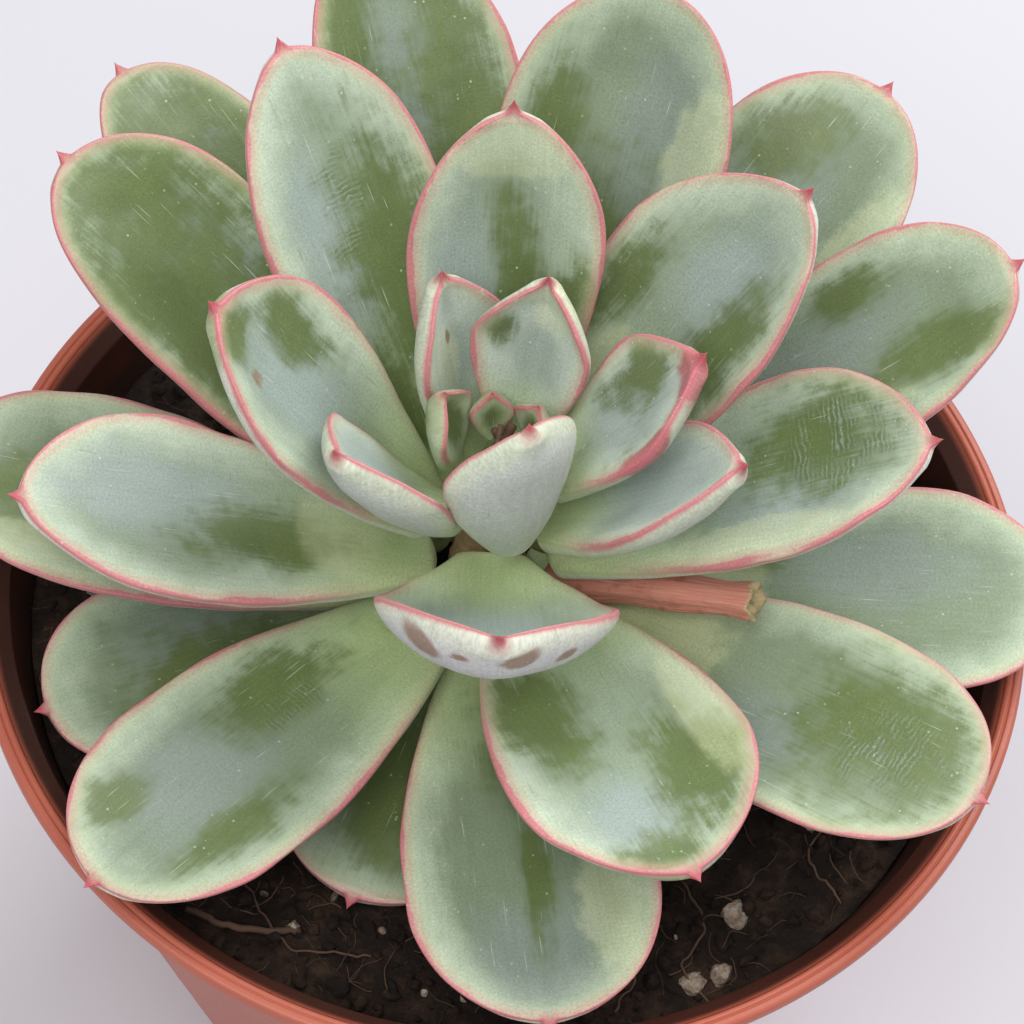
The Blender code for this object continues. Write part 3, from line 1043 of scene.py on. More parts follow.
@dataclass(frozen=True)
class Stem:
    """The short leaning stem: heights are above the soil's edge."""

    foot_height: float = -31
    top_height: float = 38
    foot_radius: float = 8.5
    top_radius: float = 2.6
    at_soil_x: float = -2
    at_soil_y: float = 1.4
    lean: float = 9
    clearance: float = 0.3

    def point(self, height: float) -> Vector:
        """Finds the stem's middle.

        Args:
            height: Height above the soil's edge, in millimetres.

        Returns:
            The point, in metres.
        """
        soil_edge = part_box("soil")[1].z
        y = self.at_soil_y - height * tan(radians(self.lean))
        return Vector((self.at_soil_x * MM, y * MM, soil_edge + height * MM))

    def radius(self, height: float) -> float:
        """The stem's radius at a height above the soil's edge, both in millimetres."""
        share = (height - self.foot_height) / (self.top_height - self.foot_height)
        return self.foot_radius + (self.top_radius - self.foot_radius) * share

    def leaf_start(self, blade: Blade) -> float:
        """How far from the stem's middle a leaf's foot is, in millimetres."""
        slope = abs(sin(radians(blade.pitch - blade.curl / 2)))
        return self.radius(blade.base) + 2 * self.clearance + blade.thickness / 2 * slope

    def build(self) -> bpy.types.Object:
        """Builds the stem with rings of old leaf scars.

        Returns:
            The finished piece.
        """
        heights = np.linspace(self.foot_height, self.top_height, 60)
        angle = np.arange(32) * 2 * pi / 32
        rings = []
        for height in heights:
            middle = self.point(float(height))
            scars = 0.35 * ripple(5, angle * 6, np.full(32, height), 5) + 0.25 * sin(height * 2.2)
            radius = (self.radius(float(height)) - 0.5 + scars) * MM
            ring = np.stack(
                [
                    middle.x + radius * np.cos(angle), middle.y + radius * np.sin(angle),
                    np.full(32, middle.z),
                ],
                1,
            )
            rings.append(ring)
        rings = [rings[0], *rings, rings[-1]]
        return put("stem_body", ring_mesh("stem_body", np.array(rings)), StemBark().build())


@dataclass(frozen=True)
class StalkSkin:
    """Skin of a drying flower stalk: brick red and fibrous, with a pale pithy cut end."""

    name: str = "dry_flower_stalk_skin"
    # Painted light: these colours are lighter than the stalk's own, standing in for the light it lacks in the
    # shade.
    red: str = "#D28A77"
    dark: str = "#A9614F"
    pale: str = "#E0B4A4"
    pith: str = "#CDBB8E"

    def build(self) -> bpy.types.Material:
        """Builds the material, which reads the stalk's own attributes.

        Returns:
            The material.
        """
        material, g = shader_graph(self.name)
        g.add("place", "Attribute", attribute_name="skin_mm")
        g.add("cut", "Attribute", attribute_name="cut")
        g.add("lengthwise", "Mapping", {"Vector": "@place.Vector", "Scale": (1 / 0.35, 1 / 6, 1.0)})
        noises = (
            ("fibre", "@lengthwise", 1, 4),
            ("blotch", "@place.Vector", 1 / 3, 5),
            ("grit", "@place.Vector", 1 / 0.25, 2),
        )
        g.add_rows("TexNoise", NOISE, noises)
        g.add("cut_edge", "Math", {0: "@blotch", 1: 0.5, 2: "@cut.Fac"}, **TIMES_PLUS)
        parts = (
            ("dark_part", "@blotch", 0.5, 0.68, 0.7),
            ("pale_part", "@fibre", 0.52, 0.75, 0.65),
            ("cut_part", "@cut_edge", 0.85, 1.1),
        )
        g.add_rows("MapRange", SPAN, parts, **SOFT_STEP)
        g.add("pith_tone", "Mix", {"Factor": "@grit", "A": self.pith, "B": "#9C8458"}, data_type="RGBA")
        colour = g.coats(
            self.red,
            [
                ("darker", "@dark_part", self.dark),
                ("paler", "@pale_part", self.pale),
                ("ended", "@cut_part", "@pith_tone"),
            ],
        )
        g.add("height", "Math", {0: "@grit", 1: 0.3, 2: "@fibre"}, **TIMES_PLUS)
        shader = {"Base Color": colour, "Roughness": 0.6, "Subsurface Weight": 0.08, "Subsurface Scale": MM}
        finish_surface(g, shader, "@height", 0.25)
        return material


@dataclass(frozen=True)
class FlowerStalk:
    """The stub left where the flower stalk was cut, between two leaves."""

    azimuth: float = -13
    base: float = 12.8
    pitch: float = 22
    length: float = 25
    radius: float = 2.25
    bow: float = 0.5
    swell: float = 0.07
    flare: float = 0.12
    ridges: float = 0.11
    ragged: float = 0.55
    around: int = 32

    def build(self, stem: Stem) -> bpy.types.Object:
        """Builds the stalk along a slightly bowed line, with a ragged cut end.

        Args:
            stem: The stem that it grows from.

        Returns:
            The finished piece.
        """
        outward = Vector((cos(radians(self.azimuth)), sin(radians(self.azimuth)), 0))
        axis = outward * cos(radians(self.pitch)) + Vector((0, 0, sin(radians(self.pitch))))
        across = Vector((0, 0, 1)).cross(axis).normalized()
        upward = axis.cross(across)
        start = stem.point(self.base) + outward * (stem.radius(self.base) + self.radius + stem.clearance) * MM
        side_run = np.linspace(0, self.length, 60)
        end_run = np.linspace(1, 0, 8)[1:]
        distance = np.concatenate([side_run[:1], side_run, np.full(7, self.length)])
        shrink = np.concatenate([[0.0], np.ones(60), end_run])
        angle = np.arange(self.around) * 2 * pi / self.around
        rings, cut = [], []
        for run, share in zip(distance, shrink):
            swell = 1 + self.swell * sin(run * 0.5) + self.flare * max(0.0, run / self.length - 0.88) / 0.12
            ridge = self.ridges * ripple(31, angle * 3.5, np.full(self.around, run / 12), 5)
            radius = self.radius * share * (swell + ridge * share - 0.08)
            ragged = self.ragged * ripple(
                32, np.cos(angle) * 3 * share, np.sin(angle) * 3 * share, 3
            ) * (run > self.length - 0.6)
            bow = self.bow * sin(pi * run / self.length)
            middle = np.array(start) + (np.array(axis) * run + np.array(upward) * bow) * MM
            hollow = -0.5 * (1 - share) * (run >= self.length)
            ring = (
                middle
                + np.outer(np.cos(angle) * radius, np.array(across)) * MM
                + np.outer(np.sin(angle) * radius, np.array(upward)) * MM
                + np.outer(ragged + hollow, np.array(axis)) * MM
            )
            rings.append(ring)
            cut.append(np.full(self.around, np.clip((run - self.length + 1.2) / 1.2, 0, 1)))
        girth = np.broadcast_to(angle * self.radius, (len(rings), self.around))
        skin_mm = np.stack(
            [girth, np.broadcast_to(distance[:, None], girth.shape), np.zeros_like(girth)], axis=2
        )
        mesh = ring_mesh("flower_stalk_stub", np.array(rings), {"skin_mm": skin_mm, "cut": np.array(cut)})
        return put("flower_stalk_stub", mesh, StalkSkin().build())


@dataclass(frozen=True)
class HeartLitter:
    """Dry brown scraps caught between the youngest leaves: withered leaf tips."""

    lean_out: float = 1.6

    def build(self, stem: Stem) -> bpy.types.Object:
        """Builds the scraps as one piece.

        Args:
            stem: The stem whose top they lie on.

        Returns:
            The finished piece.
        """
        parts = []
        top = stem.point(stem.top_height) / MM
        # Azimuth, distance from the stem's middle, height above its top, length, radius and turn.
        for index, (azimuth, out, rise, length, radius, turn) in enumerate(
            (
                (100, 1.2, 2.6, 4.5, 0.55, 60),
                (40, 0.8, 3.6, 3.8, 0.4, 150),
                (200, 0.9, 3.0, 3.2, 0.35, 20),
                (-60, 1.3, 2.6, 3.6, 0.45, 100),
                (-20, 1.9, 3.2, 2.6, 0.3, 10),
                (140, 0.6, 4.4, 3.0, 0.3, 85),
            )
        ):
            place = np.linspace(-0.5, 0.5, 12)
            x = top.x + out * cos(radians(azimuth)) + length * place * cos(radians(turn))
            y = top.y + out * sin(radians(azimuth)) + length * place * sin(radians(turn))
            z = top.z + rise + self.lean_out * place * length / 3 + 0.5 * ripple(400 + index, x, y, 3)
            parts.append(tube(f"scrap_{index}", np.stack([x, y, z], 1) * MM, radius * MM, 10, 420 + index))
        return put("heart_litter", joined("heart_litter", parts), DryFibre("withered_leaf_scraps").build())


# ---------------------------------------------------------------- rosette


@dataclass
class Rosette:
    """All leaves, the stem they grow from, the flower stalk's stub and dry scraps at the heart."""

    shape: LeafShape = field(default_factory=LeafShape)
    stem: Stem = field(default_factory=Stem)
    stalk: FlowerStalk = field(default_factory=FlowerStalk)
    litter: HeartLitter = field(default_factory=HeartLitter)

    def skins(self) -> dict[Rank, bpy.types.Material]:
        """The finish of each rank of leaf: younger leaves have a thicker bloom and more pink."""
        return {
            Rank.OUTER: LeafSkin("waxy_outer_leaf_skin").build(),
            Rank.MIDDLE: LeafSkin(
                "waxy_middle_leaf_skin", bloom="#9FB098", bloom_pale="#CCD8C4", hollow="#86967F",
                grey="#97A5A0", pink_width=0.4,
            ).build(),
            Rank.INNER: LeafSkin(
                "waxy_inner_leaf_skin", bloom="#B2C0B6", bloom_pale="#D2DCCF", hollow="#94A398",
                grey="#A3B0AC", underside="#BEC3BC",
            ).build(),
            Rank.BUD: LeafSkin(
                "waxy_bud_leaf_skin", bloom="#8FA088", foot="#7F9260", underside="#98A690",
                pink_width=0.16,
            ).build(),
        }

    def build(self) -> None:
        """Builds every leaf, the stem and the stalk, and settles each in its node's place."""
        skins = self.skins()
        for index, blade in enumerate(BLADES):
            mesh = self.shape.mesh(blade, self.stem, 10 * index + 7)
            piece = put(f"{blade.node}_blade", mesh, skins[blade.rank])
            settle(piece, blade.node)
        settle(self.stem.build(), "stem")
        settle(self.stalk.build(self.stem), "flower_stalk")
        settle(self.litter.build(self.stem))


# ---------------------------------------------------------------- pot


@dataclass(frozen=True)
class NurseryPlastic:
    """Moulded polypropylene, terracotta right through: satin, faintly mottled, soil-stained inside, its inner
    wall darkened with painted shade.
    """

    name: str = "moulded_terracotta_polypropylene"
    body: str = "#AD5944"
    pale: str = "#BF725C"
    # Painted shade: the near-black that darkens the inner wall below the lip.
    inside: str = "#200D08"
    dirt: str = "#2A1A13"

    def build(self) -> bpy.types.Material:
        """Builds the material, which reads how far inside the pot each point is.

        Returns:
            The material.
        """
        material, g = shader_graph(self.name)
        g.add("place", "TexCoord")
        g.add("inner", "Attribute", attribute_name="inner_depth_mm")
        g.add("lathe", "Mapping", {"Vector": "@place.Object", "Scale": (6, 6, 1 / (0.5 * MM))})
        noises = (
            ("cloud", "@place.Object", 1 / (14 * MM), 3),
            ("grit", "@place.Object", 1 / (0.5 * MM), 3),
            ("splash", "@place.Object", 1 / (2.4 * MM), 5),
            ("mould_lines", "@lathe", 1, 2),
        )
        g.add_rows("TexNoise", NOISE, noises)
        g.add("splash_low", "Math", {0: "@inner.Fac", 1: 0.055, 2: "@splash"}, **TIMES_PLUS)
        parts = (
            ("paler", "@cloud", 0.3, 0.75, 0.2),
            # The inner wall is darkened with painted shade from just below the lip down.
            ("in_part", "@inner.Fac", 0.1, 0.9, 0.92),
            ("dirty", "@splash_low", 0.78, 0.95, 0.9),
        )
        g.add_rows("MapRange", SPAN, parts, **SOFT_STEP)
        g.add("inner_only", "MapRange", {"Value": "@inner.Fac", "From Min": 0.5, "From Max": 1.5})
        g.add("dirt_part", "Math", {0: "@dirty", 1: "@inner_only"}, operation="MULTIPLY")
        colour = g.coats(
            self.body,
            [
                ("clouded", "@paler", self.pale),
                ("shaded", "@in_part", self.inside),
                ("soiled", "@dirt_part", self.dirt),
            ],
        )
        g.add("dull", "MapRange", {"Value": "@grit", "To Min": 0.36, "To Max": 0.52})
        g.add("height", "Math", {0: "@mould_lines", 1: 0.5, 2: "@grit"}, **TIMES_PLUS)
        glow = {"Subsurface Weight": 0.06, "Subsurface Scale": MM}
        shader = {"Base Color": colour, "Roughness": "@dull", "IOR": 1.49, **glow}
        finish_surface(g, shader, "@height", 0.035)
        return material


@dataclass
class Pot:
    """The tapered pot with its grooved lip and drain holes."""

    wall: float = 1.8
    floor: float = 2.2
    base_diameter: float = 72
    lip_width: float = 1.95
    lip_depth: float = 2.1
    lip_round: float = 0.6
    shoulder_step: float = 2.2
    shoulder_drop: float = 1.6
    groove_width: float = 0.42
    groove_depth: float = 0.22
    hole_diameter: float = 8
    hole_count: int = 8
    hole_to_edge: float = 11
    steps: int = 192
    rim: float = field(init=False)
    height: float = field(init=False)

    def __post_init__(self) -> None:
        """Takes the rim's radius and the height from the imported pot."""
        low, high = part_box("pot")
        self.rim = (high.x - low.x) / 2 / MM
        self.height = high.z / MM

    def outer_radius(self, height: float) -> float:
        """Finds the outer radius of the tapered body.

        Args:
            height: Height above the underside, in millimetres.

        Returns:
            The radius in millimetres.
        """
        shoulder = self.height - self.lip_depth - self.shoulder_drop
        top = self.rim - self.lip_round - self.shoulder_step
        return self.base_diameter / 2 + (top - self.base_diameter / 2) * height / shoulder

    def inner_radius(self, height: float) -> float:
        """The body's inner radius at a height, both in millimetres."""
        return self.outer_radius(height) - self.wall

    def profile(self) -> list[tuple[float, float]]:
        """Draws the pot's section.

        Returns:
            Radii and heights in metres, from the middle of the underside up the outside, over and in.
        """
        shoulder = self.height - self.lip_depth - self.shoulder_drop
        ledge = shoulder + self.wall
        lip_in = self.rim - self.lip_width
        groove = (lip_in + self.rim) / 2 - 0.15
        corners = [
            (0, 0.6, 0),
            (self.base_diameter / 2 - 15, 0.6, 0.4),
            (self.base_diameter / 2 - 14, 0, 0.4),
            (self.outer_radius(0), 0, 0.9),
            (self.outer_radius(shoulder), shoulder, 0.5),
            (self.rim - self.lip_round, self.height - self.lip_depth, 0.3),
            (self.rim, self.height - self.lip_depth + self.lip_round, 0.3),
            (self.rim, self.height, self.lip_round),
            (groove + self.groove_width / 2, self.height, 0.08),
            (groove, self.height - self.groove_depth, 0.05),
            (groove - self.groove_width / 2, self.height, 0.08),
            (lip_in, self.height, self.lip_round * 0.8),
            (lip_in, ledge + self.shoulder_drop, 0.25),
            (self.inner_radius(ledge), ledge, 0.7),
            (self.inner_radius(self.floor), self.floor, 1.2),
            (0, self.floor, 0),
        ]
        return [(radius * MM, height * MM) for radius, height in rounded(corners)]

    def drain_tree(self, plastic: bpy.types.Material) -> bpy.types.NodeTree:
        """The geometry tree that cuts a ring of drain holes.

        Args:
            plastic: What the pot is made of.

        Returns:
            The tree, with the ring's radius, the hole's radius and the count as inputs.
        """
        g = geometry_tree(
            "drain_holes",
            {
                "Ring Radius": ("NodeSocketFloat", 0.025),
                "Hole Radius": ("NodeSocketFloat", 0.004),
                "Depth": ("NodeSocketFloat", 0.01),
                "Count": ("NodeSocketInt", 8),
            },
        )
        g.add("ring", "MeshCircle", {"Vertices": "@in.Count", "Radius": "@in.Ring Radius"})
        g.add("hole", "MeshCylinder", {"Vertices": 32, "Radius": "@in.Hole Radius", "Depth": "@in.Depth"})
        g.add("holes", "InstanceOnPoints", {"Points": "@ring", "Instance": "@hole"})
        g.add("cutters", "RealizeInstances", {"Geometry": "@holes"})
        g.add(
            "cut", "MeshBoolean", {"Mesh 1": "@in.Geometry", "Mesh 2": "@cutters"},
            operation="DIFFERENCE", solver="EXACT",
        )
        g.add("dressed", "SetMaterial", {"Geometry": "@cut", "Material": plastic})
        g.add("out", "GroupOutput", {0: "@dressed"})
        return g.tree

    def build(self) -> bpy.types.Object:
        """Turns the pot, cuts its drain holes and dresses it.

        Returns:
            The finished piece.
        """
        profile = self.profile()
        rings = turned_rings(profile, self.steps)
        blank = put("pot_blank", ring_mesh("pot_blank", rings), None)
        sizes = {
            "Ring Radius": (self.base_diameter / 2 - self.hole_to_edge) * MM,
            "Hole Radius": self.hole_diameter / 2 * MM,
            "Depth": 4 * self.floor * MM,
            "Count": self.hole_count,
        }
        plastic = NurseryPlastic().build()
        mesh = grow(blank, self.drain_tree(plastic), sizes, "nursery_pot")
        bpy.data.objects.remove(blank)
        points = np.empty(len(mesh.vertices) * 3, np.float32)
        mesh.vertices.foreach_get("co", points)
        x, y, z = points.reshape(-1, 3).T
        radius = np.hypot(x, y) / MM
        inside = radius < self.rim - self.lip_width + 0.05
        middle = (self.outer_radius(z / MM) + self.inner_radius(z / MM)) / 2
        lower = (z / MM < self.height - self.lip_depth) & (radius > middle)
        depth = np.where(inside & ~lower & (z / MM > self.floor / 2), self.height - z / MM, 0.0)
        layer = mesh.attributes.new("inner_depth_mm", "FLOAT", "POINT")
        layer.data.foreach_set("value", depth.astype(np.float32))
        mesh.shade_smooth()
        mesh.set_sharp_from_angle(angle=radians(50))
        return put("nursery_pot", mesh, plastic)


# ---------------------------------------------------------------- soil


@dataclass(frozen=True)
class PeatMix:
    """Damp peat and bark potting mix: nearly black crumbs with brown fibre."""

    name: str = "damp_peat_potting_mix"
    dark: str = "#221813"
    brown: str = "#463327"
    dry: str = "#6E5747"

    def build(self) -> bpy.types.Material:
        """Builds the material.

        Returns:
            The material.
        """
        material, g = shader_graph(self.name)
        g.add("place", "TexCoord")
        noises = (
            ("clods", "@place.Object", 1 / (4 * MM), 6, 0.65),
            ("crumb", "@place.Object", 1 / (0.7 * MM), 5, 0.7),
        )
        g.add_rows("TexNoise", NOISE, noises)
        parts = (("brown_part", "@clods", 0.42, 0.7), ("dry_part", "@crumb", 0.6, 0.78, 0.7))
        g.add_rows("MapRange", SPAN, parts, **SOFT_STEP)
        layers = [("browner", "@brown_part", self.brown), ("drier", "@dry_part", self.dry)]
        colour = g.coats(self.dark, layers)
        g.add("height", "Math", {0: "@crumb", 1: 0.6, 2: "@clods"}, **TIMES_PLUS)
        shader = {"Base Color": colour, "Roughness": 0.92, "Specular IOR Level": 0.3}
        finish_surface(g, shader, "@height", 1.4)
        return material


@dataclass(frozen=True)
class PerliteGrit:
    """Expanded perlite: brittle white foam grains, stained by the peat round them."""

    name: str = "peat_stained_perlite"
    white: str = "#A39485"
    stain: str = "#6F5A4B"
    dirt: str = "#35261D"

    def build(self) -> bpy.types.Material:
        """Builds the material, which reads each grain's own tone.

        Returns:
            The material.
        """
        material, g = shader_graph(self.name)
        g.add("place", "TexCoord")
        g.add("tone", "Attribute", attribute_name="grain_tone")
        g.add("foam", "TexVoronoi", {"Vector": "@place.Object", "Scale": 1 / (0.5 * MM)})
        g.add("smear", "TexNoise", {"Vector": "@place.Object", "Scale": 1 / (1.1 * MM), "Detail": 5.0})
        g.add("stained", "Math", {0: "@tone.Fac", 1: 0.5, 2: "@smear"}, **TIMES_PLUS)
        parts = (("stain_part", "@stained", 0.45, 0.95), ("dirt_part", "@stained", 0.85, 1.1, 0.85))
        g.add_rows("MapRange", SPAN, parts, **SOFT_STEP)
        layers = [("stained_tone", "@stain_part", self.stain), ("dirtied", "@dirt_part", self.dirt)]
        colour = g.coats(self.white, layers)
        glow = {"Subsurface Weight": 0.1, "Subsurface Scale": 0.5 * MM}
        finish_surface(g, {"Base Color": colour, "Roughness": 0.85, **glow}, "@foam", 0.25)
        return material


@dataclass(frozen=True)
class DryFibre:
    """Dead rootlets and twigs: thin, matt, grey-brown."""

    name: str = "dead_root_fibre"
    dark: str = "#2E1F18"
    pale: str = "#6A4E3C"

    def build(self) -> bpy.types.Material:
        """Builds the material.

        Returns:
            The material.
        """
        material, g = shader_graph(self.name)
        g.add("place", "TexCoord")
        noises = (("tone", "@place.Object", 1 / (5 * MM), 4), ("grit", "@place.Object", 1 / (0.3 * MM), 2))
        g.add_rows("TexNoise", NOISE, noises)
        colour = g.coats(self.dark, [("toned", "@tone", self.pale)])
        finish_surface(g, {"Base Color": colour, "Roughness": 0.8}, "@grit", 0.08)
        return material


class Grain(Enum):
    """What is strewn on the soil."""

    CRUMB = "crumb"
    PERLITE = "perlite"
    FIBRE = "fibre"


@dataclass
class Strewn:
    """Grains or fibres strewn over the soil by a geometry tree, count and sizes as its inputs."""

    name: str
    grain: Grain
    density: float  # per square metre
    smallest: float
    largest: float
    roughness: float
    seed: int
    segments: int = 8

    def tree(self, material: bpy.types.Material) -> bpy.types.NodeTree:
        """Builds the geometry tree.

        Args:
            material: What the grains are made of.

        Returns:
            The tree.
        """
        g = geometry_tree(
            self.name,
            {
                "Density": ("NodeSocketFloat", 1000.0),
                "Smallest": ("NodeSocketFloat", 1.0 * MM),
                "Largest": ("NodeSocketFloat", 2.0 * MM),
                "Roughness": ("NodeSocketFloat", 0.0),
                "Seed": ("NodeSocketInt", 0),
            },
        )
        g.add(
            "points", "DistributePointsOnFaces",
            {"Mesh": "@in.Geometry", "Density": "@in.Density", "Seed": "@in.Seed"},
        )
        if self.grain is Grain.FIBRE:
            bow = {"Start": (-1, 0, 0), "Middle": (0.1, 0.55, 0.28), "End": (1, -0.1, 0.05)}
            g.add("line", "CurveQuadraticBezier", {"Resolution": 8, **bow})
            g.add("girth", "CurvePrimitiveCircle", {"Resolution": 5, "Radius": 0.022})
            g.add("shape", "CurveToMesh", {"Curve": "@line", "Profile Curve": "@girth", "Fill Caps": True})
            low_turn, high_turn = (-0.25, -0.25, 0.0), (0.25, 0.25, 2 * pi)
            low_form, high_form = (0.7, 0.4, 0.8), (1.0, 1.3, 1.0)
        else:
            fineness = {"Segments": self.segments, "Rings": self.segments * 3 // 4}
            g.add("shape", "MeshUVSphere", {**fineness, "Radius": 0.5})
            low_turn, high_turn = (0.0, 0.0, 0.0), (2 * pi, 2 * pi, 2 * pi)
            low_form, high_form = (0.6, 0.6, 0.45), (1.25, 1.0, 0.9)
        vector = {"data_type": "FLOAT_VECTOR"}
        g.add("turn", "RandomValue", {"Min": low_turn, "Max": high_turn, "Seed": 1}, **vector)
        g.add("form", "RandomValue", {"Min": low_form, "Max": high_form, "Seed": 2}, **vector)
        g.add("size", "RandomValue", {"Min": "@in.Smallest", "Max": "@in.Largest", "Seed": 3})
        g.add("scaled", "VectorMath", {"Vector": "@form", "Scale": "@size"}, operation="SCALE")
        g.add(
            "placed", "InstanceOnPoints",
            {"Points": "@points", "Instance": "@shape", "Rotation": "@turn", "Scale": "@scaled"},
        )
        g.add("tone", "RandomValue", {"Seed": 4})
        g.add(
            "toned", "StoreNamedAttribute",
            {"Geometry": "@placed", "Name": "grain_tone", "Value": "@tone"}, domain="INSTANCE",
        )
        g.add("real", "RealizeInstances", {"Geometry": "@toned"})
        coarse = 4.0 if self.grain is Grain.FIBRE else 1.2
        g.add("jitter", "TexNoise", {"Scale": 1 / (coarse * MM), "Detail": 2.0})
        g.add("centred", "VectorMath", {0: "@jitter.Color", 1: (0.5, 0.5, 0.5)}, operation="SUBTRACT")
        g.add("nudge", "VectorMath", {"Vector": "@centred", "Scale": "@in.Roughness"}, operation="SCALE")
        g.add("bent", "SetPosition", {"Geometry": "@real", "Offset": "@nudge"})
        g.add("smooth", "SetShadeSmooth", {"Geometry": "@bent"})
        g.add("dressed", "SetMaterial", {"Geometry": "@smooth", "Material": material})
        g.add("out", "GroupOutput", {0: "@dressed"})
        return g.tree

    def build(self, ground: bpy.types.Object, material: bpy.types.Material) -> bpy.types.Object:
        """Strews the grains over a surface.

        Args:
            ground: The object whose faces carry them.
            material: What they are made of.

        Returns:
            The finished piece.
        """
        sizes = {
            "Density": self.density,
            "Smallest": self.smallest * MM,
            "Largest": self.largest * MM,
            "Roughness": self.roughness * MM,
            "Seed": self.seed,
        }
        mesh = grow(ground, self.tree(material), sizes, self.name)
        return put(self.name, mesh, None)


# Threads listed one by one on the open soil in front: points in plan, and a diameter.
THREADS = (
    (((24, -30), (27, -36), (25, -42), (29, -46)), 0.32),
    (((40, -20), (38, -26), (42, -31)), 0.28),
    (((-45, -8), (-41, -12), (-44, -17)), 0.34),
    (((16, -38), (20, -42), (18, -48)), 0.26),
    (((-24, -38), (-18, -45), (-9, -45)), 0.28),
)
TWIG = (((-30, -42), (-24, -44), (-17, -43)), 0.8)


@dataclass
class Soil:
    """The potting mix: its uneven surface and what lies on it."""

    below_rim: float = 9.0
    dip: float = 2.5
    clearance: float = 0.3
    relief: float = 1.0
    steps: int = 200
    rings: int = 70
    strewn_from: float = 5
    strewn_gap: float = 1.2
    strewn_lift: float = 0.15
    strewn_rings: int = 24
    strewn_steps: int = 72

    def surface(self, x: np.ndarray, y: np.ndarray, pot: Pot) -> np.ndarray:
        """Height of the soil's surface.

        Args:
            x: First coordinate in plan, in millimetres.
            y: Second coordinate.
            pot: The pot that holds it.

        Returns:
            Heights above the pot's underside, in millimetres.
        """
        edge = pot.height - self.below_rim
        share = np.hypot(x, y) / pot.inner_radius(edge)
        rough = 0.75 * ripple(71, x, y, 17) + 0.3 * ripple(72, x, y, 5) + 0.14 * ripple(73, x, y, 2)
        return edge - self.dip * (1 - share**2) + self.relief * (rough - 0.4)

    def bed(self, pot: Pot, material: bpy.types.Material) -> bpy.types.Object:
        """Builds the body of the mix.

        Args:
            pot: The pot that holds it.
            material: The mix.

        Returns:
            The finished piece.
        """
        edge = pot.height - self.below_rim
        floor = pot.floor + self.clearance
        top = pot.inner_radius(edge) - self.clearance
        profile = [(0.0, floor), (pot.inner_radius(floor) - self.clearance, floor)]
        profile += [(float(radius), edge) for radius in np.linspace(top, 0, self.rings)]
        rings = turned_rings(profile, self.steps)
        plan = rings[2:]
        plan[..., 2] = self.surface(plan[..., 0], plan[..., 1], pot)
        return put("soil_bed", ring_mesh("soil_bed", rings * MM), material)

    def ground(self, pot: Pot) -> bpy.types.Object:
        """Builds an open copy of the surface to strew on, which is removed again at the end.

        Args:
            pot: The pot that holds the soil.

        Returns:
            The bare object.
        """
        edge = pot.height - self.below_rim
        rings, steps = self.strewn_rings, self.strewn_steps
        outside = pot.inner_radius(edge) - self.strewn_gap
        radius = np.linspace(self.strewn_from, outside, rings)[:, None]
        angle = (np.arange(steps) * 2 * pi / steps)[None, :]
        x, y = radius * np.cos(angle), radius * np.sin(angle)
        points = np.stack([x, y, self.surface(x, y, pot) + self.strewn_lift], axis=2).reshape(-1, 3) * MM
        faces = [
            (r * steps + a, (r + 1) * steps + a, (r + 1) * steps + b, r * steps + b)
            for r in range(rings - 1)
            for a, b in ((a, (a + 1) % steps) for a in range(steps))
        ]
        mesh = bpy.data.meshes.new("ground")
        mesh.from_pydata(points.tolist(), [], faces)
        return put("ground", mesh, None)

    def threads(self, pot: Pot, material: bpy.types.Material) -> bpy.types.Object:
        """Builds the listed rootlets and the twig, as one piece.

        Args:
            pot: The pot that holds the soil.
            material: What they are made of.

        Returns:
            The finished piece.
        """
        parts = []
        for index, (route, diameter) in enumerate((*THREADS, TWIG)):
            plan = smooth_route(route, 24)
            x, y = plan.T
            wobble = 0.25 * np.stack([ripple(300 + index, x, y, 3), ripple(330 + index, x, y, 3)], 1)
            x, y = (plan + wobble).T
            z = self.surface(x, y, pot) + diameter * 0.5 + 0.5 + 0.35 * ripple(360 + index, x, y, 6)
            line = np.stack([x, y, z], axis=1) * MM
            parts.append(tube(f"thread_{index}", line, diameter / 2 * MM, 10, 80 + index))
        return put("root_threads", joined("root_threads", parts), material)

    def build(self, pot: Pot) -> None:
        """Builds the bed, strews it and lays the threads.

        Args:
            pot: The pot that holds the soil.
        """
        mix, grit, fibre = PeatMix().build(), PerliteGrit().build(), DryFibre().build()
        settle(self.bed(pot, mix), "soil")
        ground = self.ground(pot)
        for strewn, material in (
            (Strewn("soil_crumbs", Grain.CRUMB, 190000, 0.5, 2.4, 1.9, 3), mix),
            (Strewn("perlite_grains", Grain.PERLITE, 9000, 0.5, 1.9, 0.8, 8), grit),
            (Strewn("perlite_lumps", Grain.PERLITE, 5200, 2.0, 4.2, 1.6, 14, 20), grit),
            (Strewn("root_fibres", Grain.FIBRE, 85000, 0.9, 3.4, 2.4, 5), fibre),
        ):
            settle(strewn.build(ground, material))
        bpy.data.objects.remove(ground)
        settle(self.threads(pot, fibre))


def smooth_route(route: Sequence[tuple[float, float]], count: int) -> np.ndarray:
    """Points evenly spaced in parameter along a smooth curve through a few given points.

    Args:
        route: The given points.
        count: How many points to make.

    Returns:
        An array of points.
    """
    given = np.array(route, float)
    padded = np.vstack([2 * given[0] - given[1], given, 2 * given[-1] - given[-2]])
    spans = len(given) - 1
    found = []
    for place in np.linspace(0, spans - 1e-9, count):
        span = int(place)
        t = place - span
        a, b, c, d = padded[span : span + 4]
        found.append(
            0.5 * (
                2 * b + (c - a) * t + (2 * a - 5 * b + 4 * c - d) * t**2 + (3 * b - a - 3 * c + d) * t**3
            )
        )
    return np.array(found)


